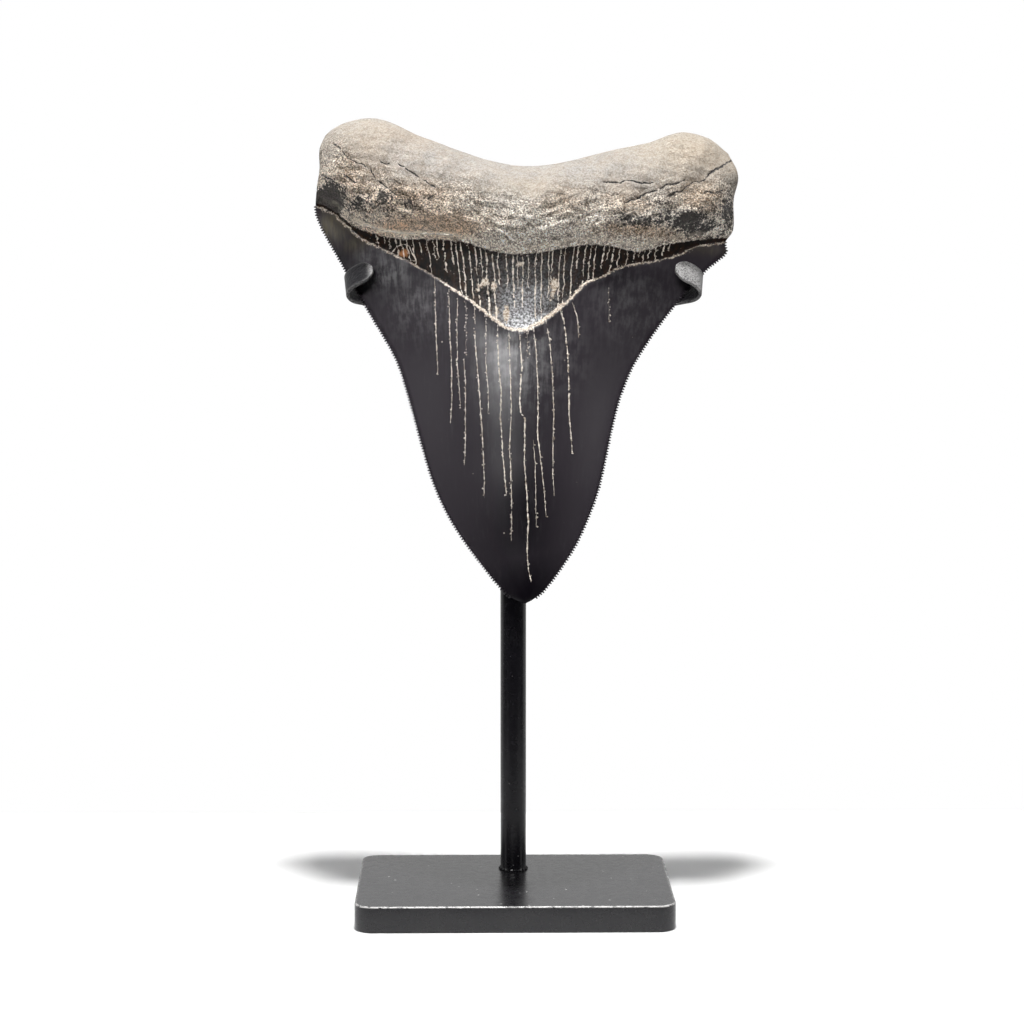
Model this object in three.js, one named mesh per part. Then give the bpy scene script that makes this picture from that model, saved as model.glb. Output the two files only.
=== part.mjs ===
// A large fossil shark tooth, point down, held by a small black metal stand.
// Millimetres, +Z up, the stand faces -Y. The origin is the centre of the base plate's underside.
import * as THREE from 'three';

const { clamp, degToRad, lerp, smoothstep } = THREE.MathUtils;

// Driving dimensions of the stand, which is cut from quarter inch stock
const INCH = 25.4;
const STOCK = INCH / 4;
const GAP = 0.3;
const BASE_LENGTH = 3 * INCH;
const BASE_DEPTH = 2 * INCH;
const BASE_CORNER = 4.5;
const CORNER_STEPS = 6;
const EASED_EDGE = 0.4;
const POST_BACK = 11;
const POST_TOP = 145.5;
const POST_SIDES = 28;
const WELD_WIDTH = 0.45;
const WELD_HEIGHT = 0.6;
const STRIP_WIDTH = STOCK;
const STRIP_THICKNESS = 0.8;
const BRACKET_HEIGHT = 141;

// Driving dimensions of the tooth: where its point is, how far it leans back, how thick it is
const TOOTH_POINT = new THREE.Vector3(2.4, -18.0, 77.3);
const TOOTH_LEAN = degToRad(16);
const ROOT_FRONT = 15.8;
const ROOT_BACK = 6.2;
const ROOT_TOP_ROUND = 13;
const ROOT_END_ROUND = 9;
const LOBE_THINNING = 0.3;
const LOBE_REACH = 40;
const THINNEST_SHARE = 0.5;

// How the crown's face rounds towards its cutting edges, in front and behind
const FRONT_ROUNDING = 1.25;
const BACK_ROUNDING = 2.4;

// How far above the root's lower rim the crown's shape gives way to the root's: [start, end]
const FRONT_BLEND = [-3, 9];
const BACK_BLEND = [-1, 8];

// Ledges: the enamel ends in one, and the root's lower rim stands over the band
const ENAMEL_LEDGE = 0.6;
const BACK_LEDGE = 0.35;
const LEDGE_RUN = 0.8;
const ROOT_LEDGE = 1.0;
const ROOT_RIM_RISE = [-0.9, 0];
const ROOT_RIM_FADE = [3, 9];
const LEDGE_FADE = [0, 5];
const BACK_LEDGE_FADE = [1, 5];
const LIP_HEIGHT = 0.5;
const LIP_REACH = 3;
const LIP_HALF_WIDTH = 32;
const EDGE_FADE = 8;

// Serrations of the cutting edges
const SERRATION_DEPTH = 0.16;
const SERRATIONS_PER_ROW = 3;
const SLOPE_REACH = 0.2;

// Rows and columns of the tooth's surface
const CROWN_ROWS = 48;
const BAND_STEPS = [0.05, 0.36, 0.68, 0.95, 1];
const ROOT_ROWS = 15;
const ROOT_CROWDING = 1.7;
const FRONT_COLUMNS = 32;
const COLUMN_CROWDING = 0.65;

// Outlines in the tooth's own frame: across from the point, and up its long axis.
// The left and right sides are [up, across], and the other lines are [across, up].
const LEFT_SIDE = [
  [0, 0], [0.7, -2.0], [2.6, -4.8], [12.9, -12.9], [20.5, -17.8], [28.3, -21.4], [36, -23.8],
  [51.6, -28.1], [59.4, -30.8], [71.2, -37.5], [83.4, -44.2], [90.8, -48.3], [95.3, -50.0],
  [101.4, -49.9], [105.9, -49.3], [111.2, -49.3], [114.5, -48],
];
const RIGHT_SIDE = [
  [0, 0], [0.6, 1.3], [3.3, 4.6], [12.8, 11.3], [20.5, 15.0], [28.2, 17.7], [43.7, 21.2],
  [51.5, 23.5], [59.4, 27.2], [71.2, 35.4], [81.1, 44.1], [85.1, 48.7], [87.6, 48.6],
  [90.8, 50.6], [98.4, 50.9], [104.4, 52.1], [110.0, 49.8],
];
const ROOT_TOP = [
  [-48, 114.5], [-46.4, 115.8], [-43.1, 117.4], [-37.7, 118.4], [-32.8, 117.5], [-25.5, 113.9],
  [-8.5, 107.5], [1.2, 105.9], [10.9, 107.3], [20.7, 109.9], [30.4, 112.2], [35.2, 114.1],
  [39, 114.9], [45, 113.5], [49.8, 110.0],
];
const ENAMEL_LINE = [
  [-50, 96.6], [-45.9, 94.3], [-41.3, 89.9], [-38.4, 87.5], [-31.5, 83.7], [-24.2, 79.3],
  [-12.6, 70.8], [-4.8, 64.5], [-1.8, 63.5], [0.7, 64.1], [4.3, 66], [11.3, 71.9], [14.3, 75.2],
  [18, 76.8], [23.4, 79.8], [32, 81.9], [37.5, 83.8], [41.9, 86], [48.6, 87.7],
];
const ROOT_LINE = [
  [-50, 97.6], [-45.9, 95.2], [-41.3, 91], [-38.3, 89.4], [-31.5, 87], [-15.1, 85], [-7.8, 82.5],
  [-1.5, 81.5], [6.8, 82.5], [12.9, 83.9], [20, 84.1], [26.6, 83.2], [33.1, 85.1], [39.6, 86.8],
  [48.6, 88.7],
];
const BACK_ENAMEL_LINE = [[-50, 96.6], [-25, 89], [0, 85.5], [25, 86], [48.6, 87.7]];
const BACK_ROOT_LINE = [[-50, 97.6], [-25, 90.3], [0, 86.8], [25, 87.3], [48.6, 88.7]];

// Thickness of the crown's middle, in front of and behind the plane of its cutting edges: [up, thickness]
const CROWN_FRONT = [
  [0, 0], [1.5, 0.8], [8, 2.3], [18, 4.3], [38, 7.3], [58, 9.4], [82, 10.8], [120, 11.4],
];
const CROWN_BACK = [
  [0, 0], [1.5, 0.5], [18, 1.5], [38, 2.2], [60, 2.7], [84, 3.4], [120, 3.6],
];

// Hollows of the root: a pit and a groove on the left lobe, and a sunken patch on the right lobe
const ROOT_HOLLOWS = [
  { across: -32.5, up: 97.5, radius: 2.6, depth: 0.9 },
  { across: -47, up: 101.5, radius: 3.2, depth: 0.9 },
  { across: 38, up: 94, radius: 5, depth: 0.6 },
];

// Lumps of the root: crossed waves [height, [across, up, start], [across, up, start]], in millimetres.
// The middle one is a single slanting wave, since its second wave is 1 everywhere.
const ROOT_LUMPS = [
  [0.45, [0.31, 0, 1.3], [0, 0.36, 0.4]],
  [0.3, [0.66, -0.5, 2.1], [0, 0, Math.PI / 2]],
  [0.16, [1.2, 0.9, 0], [0.8, -1.5, 0.7]],
];

// The same lumps behind, lower and moved along
const BACK_LUMP_SHARE = 0.6;
const BACK_LUMP_SHIFT = [11, 5];

// Claws: the outermost point of each, and the strip's path from there, [inward, forward], outer face
const LEFT_CLAW = new THREE.Vector3(-40.4, 2.2, 151);
const RIGHT_CLAW = new THREE.Vector3(45.2, 1.3, 151.3);
const CLAW_PATH = [
  [5.4, -4.1], [3.6, -3.4], [2.3, -2.9], [1.2, -2.2], [0.4, -1.2], [0, 0], [0.1, 1], [0.5, 2],
  [1.3, 3], [2.5, 3.9], [3.8, 4.6], [5.2, 5.2], [6.7, 5.6],
];
const CLAW_FLARE = 0.11;
const CLAW_TILT = degToRad(45);
const CLAW_STEPS = 16;
const TONGUE_END_SHARE = 0.3;

// Arms: how far the strip runs on from a claw, and along the post's face, before it bends
const ARM_STEPS = 9;
const CLAW_PULL = 8;
const POST_PULL = 14;

// Smooth curve through stations of [position, value], with positions rising
function smoothThrough(stations) {
  const last = stations.length - 1;
  const slopes = stations.map((_, index) => {
    const before = stations[Math.max(index - 1, 0)];
    const after = stations[Math.min(index + 1, last)];
    return (after[1] - before[1]) / (after[0] - before[0]);
  });
  return (position) => {
    const held = clamp(position, stations[0][0], stations[last][0]);
    let index = 0;
    while (index < last - 1 && held > stations[index + 1][0]) {
      index += 1;
    }
    const [start, low] = stations[index];
    const [end, high] = stations[index + 1];
    const span = end - start;
    const t = (held - start) / span;
    const rise = high - low;
    const startPull = slopes[index] * span;
    const endPull = slopes[index + 1] * span;
    const bend = startPull + endPull - 2 * rise;
    return low + t * (startPull + t * (3 * rise - 2 * startPull - endPull + t * bend));
  };
}

const leftSide = smoothThrough(LEFT_SIDE);
const rightSide = smoothThrough(RIGHT_SIDE);
const rootTop = smoothThrough(ROOT_TOP);
const enamelLine = smoothThrough(ENAMEL_LINE);
const rootLine = smoothThrough(ROOT_LINE);
const backEnamelLine = smoothThrough(BACK_ENAMEL_LINE);
const backRootLine = smoothThrough(BACK_ROOT_LINE);
const crownFront = smoothThrough(CROWN_FRONT);
const crownBack = smoothThrough(CROWN_BACK);

// Quarter round: rises from 0 at the rim to 1 once the distance reaches the radius
function quarterRound(distance, radius) {
  const short = clamp(1 - distance / radius, 0, 1);
  return Math.sqrt(1 - short * short);
}

// Where a point lies between the sides of the tooth: -1 at the left side, 1 at the right side
function sidewaysShare(across, up) {
  const left = leftSide(up);
  const width = Math.max(rightSide(up) - left, Number.EPSILON);
  return clamp((2 * (across - left)) / width - 1, -1, 1);
}

// How far in from the cutting edges a point is: 0 on an edge, 1 once clear of it
function clearOfEdges(share) {
  return Math.min(1, (1 - Math.abs(share)) * EDGE_FADE);
}

// How full the root is: rounded over along its top and at its two ends
function rootFullness(across, up) {
  const toTop = rootTop(across) - up;
  const toEnd = Math.min(across - leftSide(up), rightSide(up) - across);
  return quarterRound(toTop, ROOT_TOP_ROUND) * quarterRound(toEnd, ROOT_END_ROUND);
}

// Height of the root's uneven lumps
function rootLumps(across, up) {
  const wave = ([along, upward, start]) => Math.sin(along * across + upward * up + start);
  return ROOT_LUMPS.reduce((sum, [height, first, second]) => sum + height * wave(first) * wave(second), 0);
}

// Depth of the root's hollows, each a soft round dent
function rootHollows(across, up) {
  return ROOT_HOLLOWS.reduce((sum, hollow) => {
    const distance = Math.hypot(across - hollow.across, up - hollow.up);
    return sum + hollow.depth * Math.exp(-((distance / hollow.radius) ** 2));
  }, 0);
}

// Height of the front face's ledges: the enamel's lip, the sunken band under the root and the root's rim
function frontLedges(across, up) {
  const aboveEnamel = up - enamelLine(across);
  const aboveRoot = up - rootLine(across);
  const middle = Math.max(0, 1 - Math.abs(across) / LIP_HALF_WIDTH);
  const lip = aboveEnamel > 0 ? 0 : LIP_HEIGHT * middle * Math.exp(-((aboveEnamel / LIP_REACH) ** 2));
  const sunken = smoothstep(aboveEnamel, 0, LEDGE_RUN) * (1 - smoothstep(aboveRoot, ...LEDGE_FADE));
  const rim = smoothstep(aboveRoot, ...ROOT_RIM_RISE) * (1 - smoothstep(aboveRoot, ...ROOT_RIM_FADE));
  return lip - ENAMEL_LEDGE * sunken + ROOT_LEDGE * rim;
}

// How far the front face stands ahead of the plane of the cutting edges
function frontHeight(across, up) {
  const share = sidewaysShare(across, up);
  const crown = crownFront(up) * (1 - share * share) ** FRONT_ROUNDING;
  const thinning = Math.max(1 - LOBE_THINNING * (across / LOBE_REACH) ** 2, THINNEST_SHARE);
  const body = ROOT_FRONT * thinning + rootLumps(across, up) - rootHollows(across, up);
  const root = body * rootFullness(across, up);
  const height = lerp(crown, root, smoothstep(up - rootLine(across), ...FRONT_BLEND));
  return Math.max(0, height + clearOfEdges(share) * frontLedges(across, up));
}

// How far the back face stands behind the same plane
function backHeight(across, up) {
  const share = sidewaysShare(across, up);
  const aboveRoot = up - backRootLine(across);
  const crown = crownBack(up) * (1 - Math.abs(share) ** BACK_ROUNDING);
  const lumps = BACK_LUMP_SHARE * rootLumps(across + BACK_LUMP_SHIFT[0], up + BACK_LUMP_SHIFT[1]);
  const root = (ROOT_BACK + lumps) * rootFullness(across, up);
  const height = lerp(crown, root, smoothstep(aboveRoot, ...BACK_BLEND));
  const onLedge = smoothstep(up - backEnamelLine(across), 0, LEDGE_RUN);
  const ledge = BACK_LEDGE * onLedge * (1 - smoothstep(aboveRoot, ...BACK_LEDGE_FADE));
  return Math.max(0, height - clearOfEdges(share) * ledge);
}

// From the tooth's own frame to the stand's: it leans back about its point
function placeOnStand(across, up, front) {
  const back = up * Math.sin(TOOTH_LEAN) - front * Math.cos(TOOTH_LEAN);
  const height = up * Math.cos(TOOTH_LEAN) + front * Math.sin(TOOTH_LEAN);
  return new THREE.Vector3(across, back, height).add(TOOTH_POINT);
}

// A closed solid in the making, whose triangles share their corners by number
class SolidBuilder {
  constructor() {
    this.corners = [];
    this.triangles = [];
  }

  corner(point) {
    this.corners.push(point.x, point.y, point.z);
    return this.corners.length / 3 - 1;
  }

  triangle(first, second, third) {
    if (first !== second && second !== third && third !== first) {
      this.triangles.push(first, second, third);
    }
  }

  // Fills the strip between two chains of corners, which may have different counts.
  // Seen from outside, the upper chain lies to the left of the lower one's direction.
  stitch(lower, upper) {
    const lowSteps = lower.length - 1;
    const highSteps = upper.length - 1;
    let low = 0;
    let high = 0;
    while (low < lowSteps || high < highSteps) {
      const lowNext = (low + 1) / Math.max(lowSteps, 1);
      const highNext = (high + 1) / Math.max(highSteps, 1);
      if (high === highSteps || (low < lowSteps && lowNext <= highNext)) {
        this.triangle(lower[low], lower[low + 1], upper[high]);
        low += 1;
      } else {
        this.triangle(lower[low], upper[high + 1], upper[high]);
        high += 1;
      }
    }
  }

  geometry() {
    const geometry = new THREE.BufferGeometry();
    geometry.setAttribute('position', new THREE.Float32BufferAttribute(this.corners, 3));
    geometry.setIndex(this.triangles);
    geometry.computeVertexNormals();
    return geometry;
  }
}

// Shares along a row, closer together at its two ends: 0 at the left, 1 at the right
function columnShares(count) {
  return Array.from({ length: count + 1 }, (_, index) => {
    const even = index / count;
    const crowded = 0.5 - 0.5 * Math.cos(Math.PI * even);
    return lerp(even, crowded, COLUMN_CROWDING);
  });
}

// A line that is read by the share of the way between its ends
function readAlong(stations) {
  const line = smoothThrough(stations);
  return (share) => line(lerp(stations[0][0], stations.at(-1)[0], share));
}

// The rows of one face from the point up: each gives its height at any share across
function toothRows(enamelStations, rootStations) {
  const enamelAt = readAlong(enamelStations);
  const rootAt = readAlong(rootStations);
  const topAt = readAlong(ROOT_TOP);
  const rows = [];
  for (let row = 1; row <= CROWN_ROWS; row += 1) {
    rows.push((share) => (row / CROWN_ROWS) * enamelAt(share));
  }
  for (const step of BAND_STEPS) {
    rows.push((share) => lerp(enamelAt(share), rootAt(share), step));
  }
  for (let row = 1; row <= ROOT_ROWS; row += 1) {
    const step = 1 - (1 - row / ROOT_ROWS) ** ROOT_CROWDING;
    rows.push((share) => lerp(rootAt(share), topAt(share), step));
  }
  return rows;
}

// Points of a side between two heights, moved in and out by turns for the serrations
function serratedSide(side, outward, lowEnd, highEnd) {
  const count = SERRATIONS_PER_ROW * 2;
  return Array.from({ length: count - 1 }, (_, index) => {
    const up = lerp(lowEnd, highEnd, (index + 1) / count);
    const depth = index % 2 === 0 ? SERRATION_DEPTH : -SERRATION_DEPTH;
    const slope = (side(up + SLOPE_REACH) - side(up - SLOPE_REACH)) / (2 * SLOPE_REACH);
    const reach = (outward * depth) / Math.hypot(1, slope);
    return [side(up) + reach, up - reach * slope];
  });
}

// The tooth's skin, laid row by row from the point up. Each row runs across the front and across the back
// between the same two corners, one on each cutting edge. The back has half as many columns.
class ToothSkin {
  constructor() {
    this.solid = new SolidBuilder();
    this.frontRows = toothRows(ENAMEL_LINE, ROOT_LINE);
    this.backRows = toothRows(BACK_ENAMEL_LINE, BACK_ROOT_LINE);
    this.frontShares = columnShares(FRONT_COLUMNS).slice(1, -1);
    this.backShares = this.frontShares.filter((_, index) => index % 2 === 1);
  }

  corner(across, up, front) {
    return this.solid.corner(placeOnStand(across, up, front));
  }

  // The corners of one face between the two cutting edges
  faceCorners(heightAt, shares, frontAt) {
    const left = leftSide(heightAt(0));
    const right = rightSide(heightAt(1));
    return shares.map((share) => {
      const across = lerp(left, right, share);
      const up = heightAt(share);
      return this.corner(across, up, frontAt(across, up));
    });
  }

  // A row's end on one cutting edge: its height and its corner
  rowEnd(side, up) {
    return { up, corner: this.corner(side(up), up, 0) };
  }

  // One row: its end on each edge and its corners on each face.
  // In the top row the back takes every other corner of the front, which closes the root's top.
  row(number) {
    const heightAt = this.frontRows[number];
    const left = this.rowEnd(leftSide, heightAt(0));
    const right = this.rowEnd(rightSide, heightAt(1));
    const front = this.faceCorners(heightAt, this.frontShares, frontHeight);
    const isTop = number === this.frontRows.length - 1;
    const back = isTop
      ? front.filter((_, index) => index % 2 === 1)
      : this.faceCorners(this.backRows[number], this.backShares, (across, up) => -backHeight(across, up));
    return { left, right, front, back, isTop };
  }

  // The corners along one cutting edge from the row below to this one, serrated on the crown
  edgeChain(side, outward, low, high, toothed) {
    const between = toothed ? serratedSide(side, outward, low.up, high.up) : [];
    return [low.corner, ...between.map(([across, up]) => this.corner(across, up, 0)), high.corner];
  }

  // Fills the skin between one row and the row below it
  fill(below, row, toothed) {
    const left = this.edgeChain(leftSide, -1, below.left, row.left, toothed);
    const right = this.edgeChain(rightSide, 1, below.right, row.right, toothed);
    const upperBack = row.isTop ? row.front.slice(1, -1) : row.back;
    this.solid.stitch(below.front, row.front);
    this.solid.stitch([...left].reverse(), [row.front[0], below.front[0]]);
    this.solid.stitch(right, [below.front.at(-1), row.front.at(-1)]);
    this.solid.stitch([...below.back].reverse(), [...upperBack].reverse());
    this.solid.stitch(left, [below.back[0], row.back[0]]);
    this.solid.stitch([...right].reverse(), [row.back.at(-1), below.back.at(-1)]);
  }

  geometry() {
    const point = { up: 0, corner: this.corner(0, 0, 0) };
    let below = { left: point, right: point, front: [point.corner], back: [point.corner] };
    this.frontRows.forEach((_, number) => {
      const row = this.row(number);
      this.fill(below, row, number < CROWN_ROWS);
      below = row;
    });
    this.solid.triangle(below.left.corner, below.front[0], below.front[1]);
    this.solid.triangle(below.front.at(-2), below.front.at(-1), below.right.corner);
    return this.solid.geometry();
  }
}

// A flat rectangular plate with rounded corners and eased edges
function basePlateGeometry() {
  const radius = BASE_CORNER - EASED_EDGE;
  const centreAcross = BASE_LENGTH / 2 - BASE_CORNER;
  const centreBack = BASE_DEPTH / 2 - BASE_CORNER;
  const quarter = Math.PI / 2;
  const outline = new THREE.Shape();
  outline.absarc(centreAcross, centreBack, radius, 0, quarter);
  outline.absarc(-centreAcross, centreBack, radius, quarter, 2 * quarter);
  outline.absarc(-centreAcross, -centreBack, radius, 2 * quarter, 3 * quarter);
  outline.absarc(centreAcross, -centreBack, radius, 3 * quarter, 4 * quarter);
  const geometry = new THREE.ExtrudeGeometry(outline, {
    depth: STOCK - 2 * EASED_EDGE,
    bevelThickness: EASED_EDGE,
    bevelSize: EASED_EDGE,
    bevelSegments: 1,
    curveSegments: CORNER_STEPS,
  });
  return geometry.translate(0, 0, EASED_EDGE);
}

// The round post, with the tiny weld bead that widens its foot
function postGeometry() {
  const radius = STOCK / 2;
  const length = POST_TOP - STOCK;
  const profile = [
    [0, 0],
    [radius + WELD_WIDTH, 0],
    [radius, WELD_HEIGHT],
    [radius, length - EASED_EDGE],
    [radius - EASED_EDGE, length],
    [0, length],
  ].map(([out, up]) => new THREE.Vector2(out, up));
  return new THREE.LatheGeometry(profile, POST_SIDES).rotateX(Math.PI / 2);
}

// One claw, from its tongue to where its arm starts. A station holds the strip's centre, the direction
// of its width and half its width there.
function clawStations(claw, side) {
  const flare = CLAW_FLARE * side;
  const width = new THREE.Vector3(flare, Math.sin(CLAW_TILT), Math.cos(CLAW_TILT)).normalize();
  const inward = new THREE.Vector3(-side, 0, 0).addScaledVector(width, side * width.x).normalize();
  const forward = new THREE.Vector3().crossVectors(inward, width).multiplyScalar(-side);
  const outerPath = new THREE.SplineCurve(CLAW_PATH.map(([x, y]) => new THREE.Vector2(x, y)));
  const stations = [];
  for (let step = CLAW_STEPS; step >= 0; step -= 1) {
    const heading = outerPath.getTangent(step / CLAW_STEPS);
    const inset = new THREE.Vector2(heading.y, -heading.x).multiplyScalar(STRIP_THICKNESS / 2);
    const middle = outerPath.getPoint(step / CLAW_STEPS).add(inset);
    const centre = claw.clone().addScaledVector(inward, middle.x).addScaledVector(forward, middle.y);
    stations.push({ centre, width, half: STRIP_WIDTH / 2 });
  }
  roundTongue(stations);
  return stations;
}

// Narrows the first stations of a strip, so that the claw ends in a rounded tongue
function roundTongue(stations) {
  const end = stations[0].centre;
  for (const station of stations) {
    const share = quarterRound(station.centre.distanceTo(end), station.half);
    station.half *= Math.max(TONGUE_END_SHARE, share);
  }
}

// One arm, from its claw to the front of the post, which turns upright on its way
function armStations(claw, side) {
  const start = claw.at(-1);
  const heading = start.centre.clone().sub(claw.at(-2).centre).normalize();
  const inFront = STOCK / 2 + GAP + STRIP_THICKNESS / 2;
  const postFace = new THREE.Vector3(0, POST_BACK - inFront, BRACKET_HEIGHT);
  const path = new THREE.CubicBezierCurve3(
    start.centre,
    start.centre.clone().addScaledVector(heading, CLAW_PULL),
    postFace.clone().add(new THREE.Vector3(side * POST_PULL, 0, 0)),
    postFace,
  );
  const upright = new THREE.Vector3(0, 0, 1);
  return Array.from({ length: ARM_STEPS }, (_, index) => {
    const share = (index + 1) / ARM_STEPS;
    const width = start.width.clone().lerp(upright, smoothstep(share, 0, 1)).normalize();
    return { centre: path.getPoint(share), width, half: STRIP_WIDTH / 2 };
  });
}

// The four corners of the strip at one station, and the first one again
function stripRing(solid, station, heading) {
  const face = new THREE.Vector3().crossVectors(heading, station.width).normalize();
  const signs = [[1, 1], [-1, 1], [-1, -1], [1, -1]];
  const corners = signs.map(([wide, thick]) => solid.corner(
    station.centre.clone()
      .addScaledVector(station.width, wide * station.half)
      .addScaledVector(face, (thick * STRIP_THICKNESS) / 2),
  ));
  return [...corners, corners[0]];
}

// The bracket: one flat strip, bent into a claw at each end and fixed across the front of the post
function bracketGeometry() {
  const [left, right] = [[LEFT_CLAW, -1], [RIGHT_CLAW, 1]].map(([claw, side]) => {
    const stations = clawStations(claw, side);
    return [...stations, ...armStations(stations, side)];
  });
  const stations = [...left, ...right.reverse().slice(1)];
  const solid = new SolidBuilder();
  const rings = stations.map((station, index) => {
    const before = stations[Math.max(index - 1, 0)].centre;
    const after = stations[Math.min(index + 1, stations.length - 1)].centre;
    return stripRing(solid, station, after.clone().sub(before).normalize());
  });
  rings.slice(1).forEach((ring, index) => solid.stitch(rings[index], ring));
  const first = rings[0];
  const last = rings.at(-1);
  solid.triangle(first[0], first[2], first[1]);
  solid.triangle(first[0], first[3], first[2]);
  solid.triangle(last[0], last[1], last[2]);
  solid.triangle(last[0], last[2], last[3]);
  return solid.geometry();
}

const fossil = new THREE.MeshStandardMaterial({ color: 0x4a423d, roughness: 0.45, metalness: 0 });
const blackPaint = new THREE.MeshStandardMaterial({ color: 0x2b2a2d, roughness: 0.55, metalness: 0.3 });

function namedMesh(name, geometry, material) {
  const mesh = new THREE.Mesh(geometry, material);
  mesh.name = name;
  return mesh;
}

const post = namedMesh('post', postGeometry(), blackPaint);
post.position.set(0, POST_BACK, STOCK);

const toothOnStand = new THREE.Group();
toothOnStand.add(namedMesh('tooth', new ToothSkin().geometry(), fossil));
toothOnStand.add(namedMesh('base_plate', basePlateGeometry(), blackPaint));
toothOnStand.add(post);
toothOnStand.add(namedMesh('bracket', bracketGeometry(), blackPaint));

export default toothOnStand;
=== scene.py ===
"""A large fossil shark tooth, point down, held by a small black metal stand.

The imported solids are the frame. The tooth, its bracket, the post and the base plate are built again here with
their fine surface, each where its solid is, and every finish is made of nodes.
"""
import logging
import math
from dataclasses import dataclass
from enum import Enum

import bpy
import numpy as np
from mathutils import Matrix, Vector, noise


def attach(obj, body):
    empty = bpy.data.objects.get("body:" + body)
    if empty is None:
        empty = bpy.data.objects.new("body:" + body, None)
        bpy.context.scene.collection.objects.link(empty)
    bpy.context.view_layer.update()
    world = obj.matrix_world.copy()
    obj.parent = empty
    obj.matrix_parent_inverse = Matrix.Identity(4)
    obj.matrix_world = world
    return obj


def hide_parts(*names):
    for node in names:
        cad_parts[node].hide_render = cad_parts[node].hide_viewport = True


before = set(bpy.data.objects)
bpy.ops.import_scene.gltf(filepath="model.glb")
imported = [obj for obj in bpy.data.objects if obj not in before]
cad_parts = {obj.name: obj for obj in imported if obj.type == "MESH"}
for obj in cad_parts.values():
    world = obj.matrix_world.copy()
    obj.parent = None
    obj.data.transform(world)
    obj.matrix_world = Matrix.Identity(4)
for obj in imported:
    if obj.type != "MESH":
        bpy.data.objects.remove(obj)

# Sizes are in millimetres, and MM turns them into metres
MM = 0.001
INCH = 25.4
STOCK = INCH / 4
ROOT_BODY = "root"
FOSSIL_SLOT = "fossil"
BLACK_SLOT = "black_finish"
WHITE = (1.0, 1.0, 1.0, 1.0)

Stations = tuple[tuple[float, float], ...]
Colour = tuple[float, float, float, float]
Feed = bpy.types.NodeSocket | bpy.types.ID | float | int | bool | str | tuple
Station = tuple[Vector, Vector, float]

log = logging.getLogger("tooth_on_stand")


class Side(Enum):
    """A side of the tooth, seen from its front: its value is the sign of X there."""

    LEFT = -1
    RIGHT = 1


class Face(Enum):
    """A face of the tooth: its value is the sign of the front direction there."""

    FRONT = 1
    BACK = -1


class SmoothLine:
    """A smooth curve through stations of (position, value), with positions rising."""

    def __init__(self, stations: Stations) -> None:
        """Keeps the stations, and the slope at each from its two neighbours.

        Args:
            stations: the points that the curve goes through.
        """
        self.places, self.values = np.array(stations, float).T
        numbers = np.arange(len(self.places))
        before = np.maximum(numbers - 1, 0)
        after = np.minimum(numbers + 1, len(numbers) - 1)
        rise = self.values[after] - self.values[before]
        self.slopes = rise / (self.places[after] - self.places[before])

    def __call__(self, position: np.ndarray | float) -> np.ndarray:
        """Gives the curve's value, held at the ends.

        Args:
            position: where along the curve.
        Returns:
            The value at each position.
        """
        held = np.clip(position, self.places[0], self.places[-1])
        index = np.clip(np.searchsorted(self.places, held) - 1, 0, len(self.places) - 2)
        span = self.places[index + 1] - self.places[index]
        share = (held - self.places[index]) / span
        rise = self.values[index + 1] - self.values[index]
        start = self.slopes[index] * span
        end = self.slopes[index + 1] * span
        bend = start + end - 2 * rise
        return self.values[index] + share * (start + share * (3 * rise - 2 * start - end + share * bend))

    def slope(self, position: np.ndarray | float) -> np.ndarray:
        """Gives how fast the value changes along the curve, from two points a little apart."""
        reach = 0.25
        return (self(np.add(position, reach)) - self(np.subtract(position, reach))) / (2 * reach)


def smoothstep(value: np.ndarray, low: float, high: float) -> np.ndarray:
    """Rises smoothly from 0 at low to 1 at high."""
    share = np.clip((value - low) / (high - low), 0, 1)
    return share * share * (3 - 2 * share)


def quarter_round(distance: np.ndarray, radius: float) -> np.ndarray:
    """Rises as a quarter circle from 0 at the rim to 1 at the radius."""
    short = np.clip(1 - distance / radius, 0, 1)
    return np.sqrt(1 - short * short)


def blend(first: np.ndarray, second: np.ndarray, share: np.ndarray) -> np.ndarray:
    """Goes from the first value to the second as the share goes from 0 to 1."""
    return first * (1 - share) + second * share


def uneven(across: np.ndarray, up: np.ndarray, size: tuple[float, float], seed: float) -> np.ndarray:
    """Gives smooth random values on the tooth's face.

    Args:
        across: places across, in millimetres.
        up: places up, in millimetres.
        size: how wide and how high one patch of the pattern is, in millimetres.
        seed: which pattern.
    Returns:
        Values from about -1 to 1.
    """
    flat = zip(np.ravel(across / size[0]), np.ravel(up / size[1]))
    values = [noise.noise(Vector((x, y, seed))) for x, y in flat]
    return np.array(values).reshape(np.shape(across))


@dataclass(frozen=True)
class Patch:
    """A soft-edged area of the tooth's face, in millimetres: its centre, its reach and its strength."""

    across: float
    up: float
    reach_across: float
    reach_up: float
    strength: float = 1.0

    def at(self, across: np.ndarray, up: np.ndarray) -> np.ndarray:
        """Gives the patch's strength at each point.

        Args:
            across: places across.
            up: places up.
        Returns:
            The strengths, which fade away from the centre.
        """
        sideways = (across - self.across) / self.reach_across
        upwards = (up - self.up) / self.reach_up
        return self.strength * np.exp(-(sideways**2) - upwards**2)


def painted(patches: tuple[Patch, ...], across: np.ndarray, up: np.ndarray) -> np.ndarray:
    """Gives the strongest of several patches at each point."""
    return np.max([patch.at(across, up) for patch in patches], axis=0)


@dataclass(frozen=True)
class Crack:
    """An open crack of the root: its path (across, up) in millimetres and how strong it is."""

    path: Stations
    strength: float


@dataclass(frozen=True)
class Vein:
    """A mineral vein of the enamel: its width and its path (across, up), in millimetres."""

    width: float
    path: Stations


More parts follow.
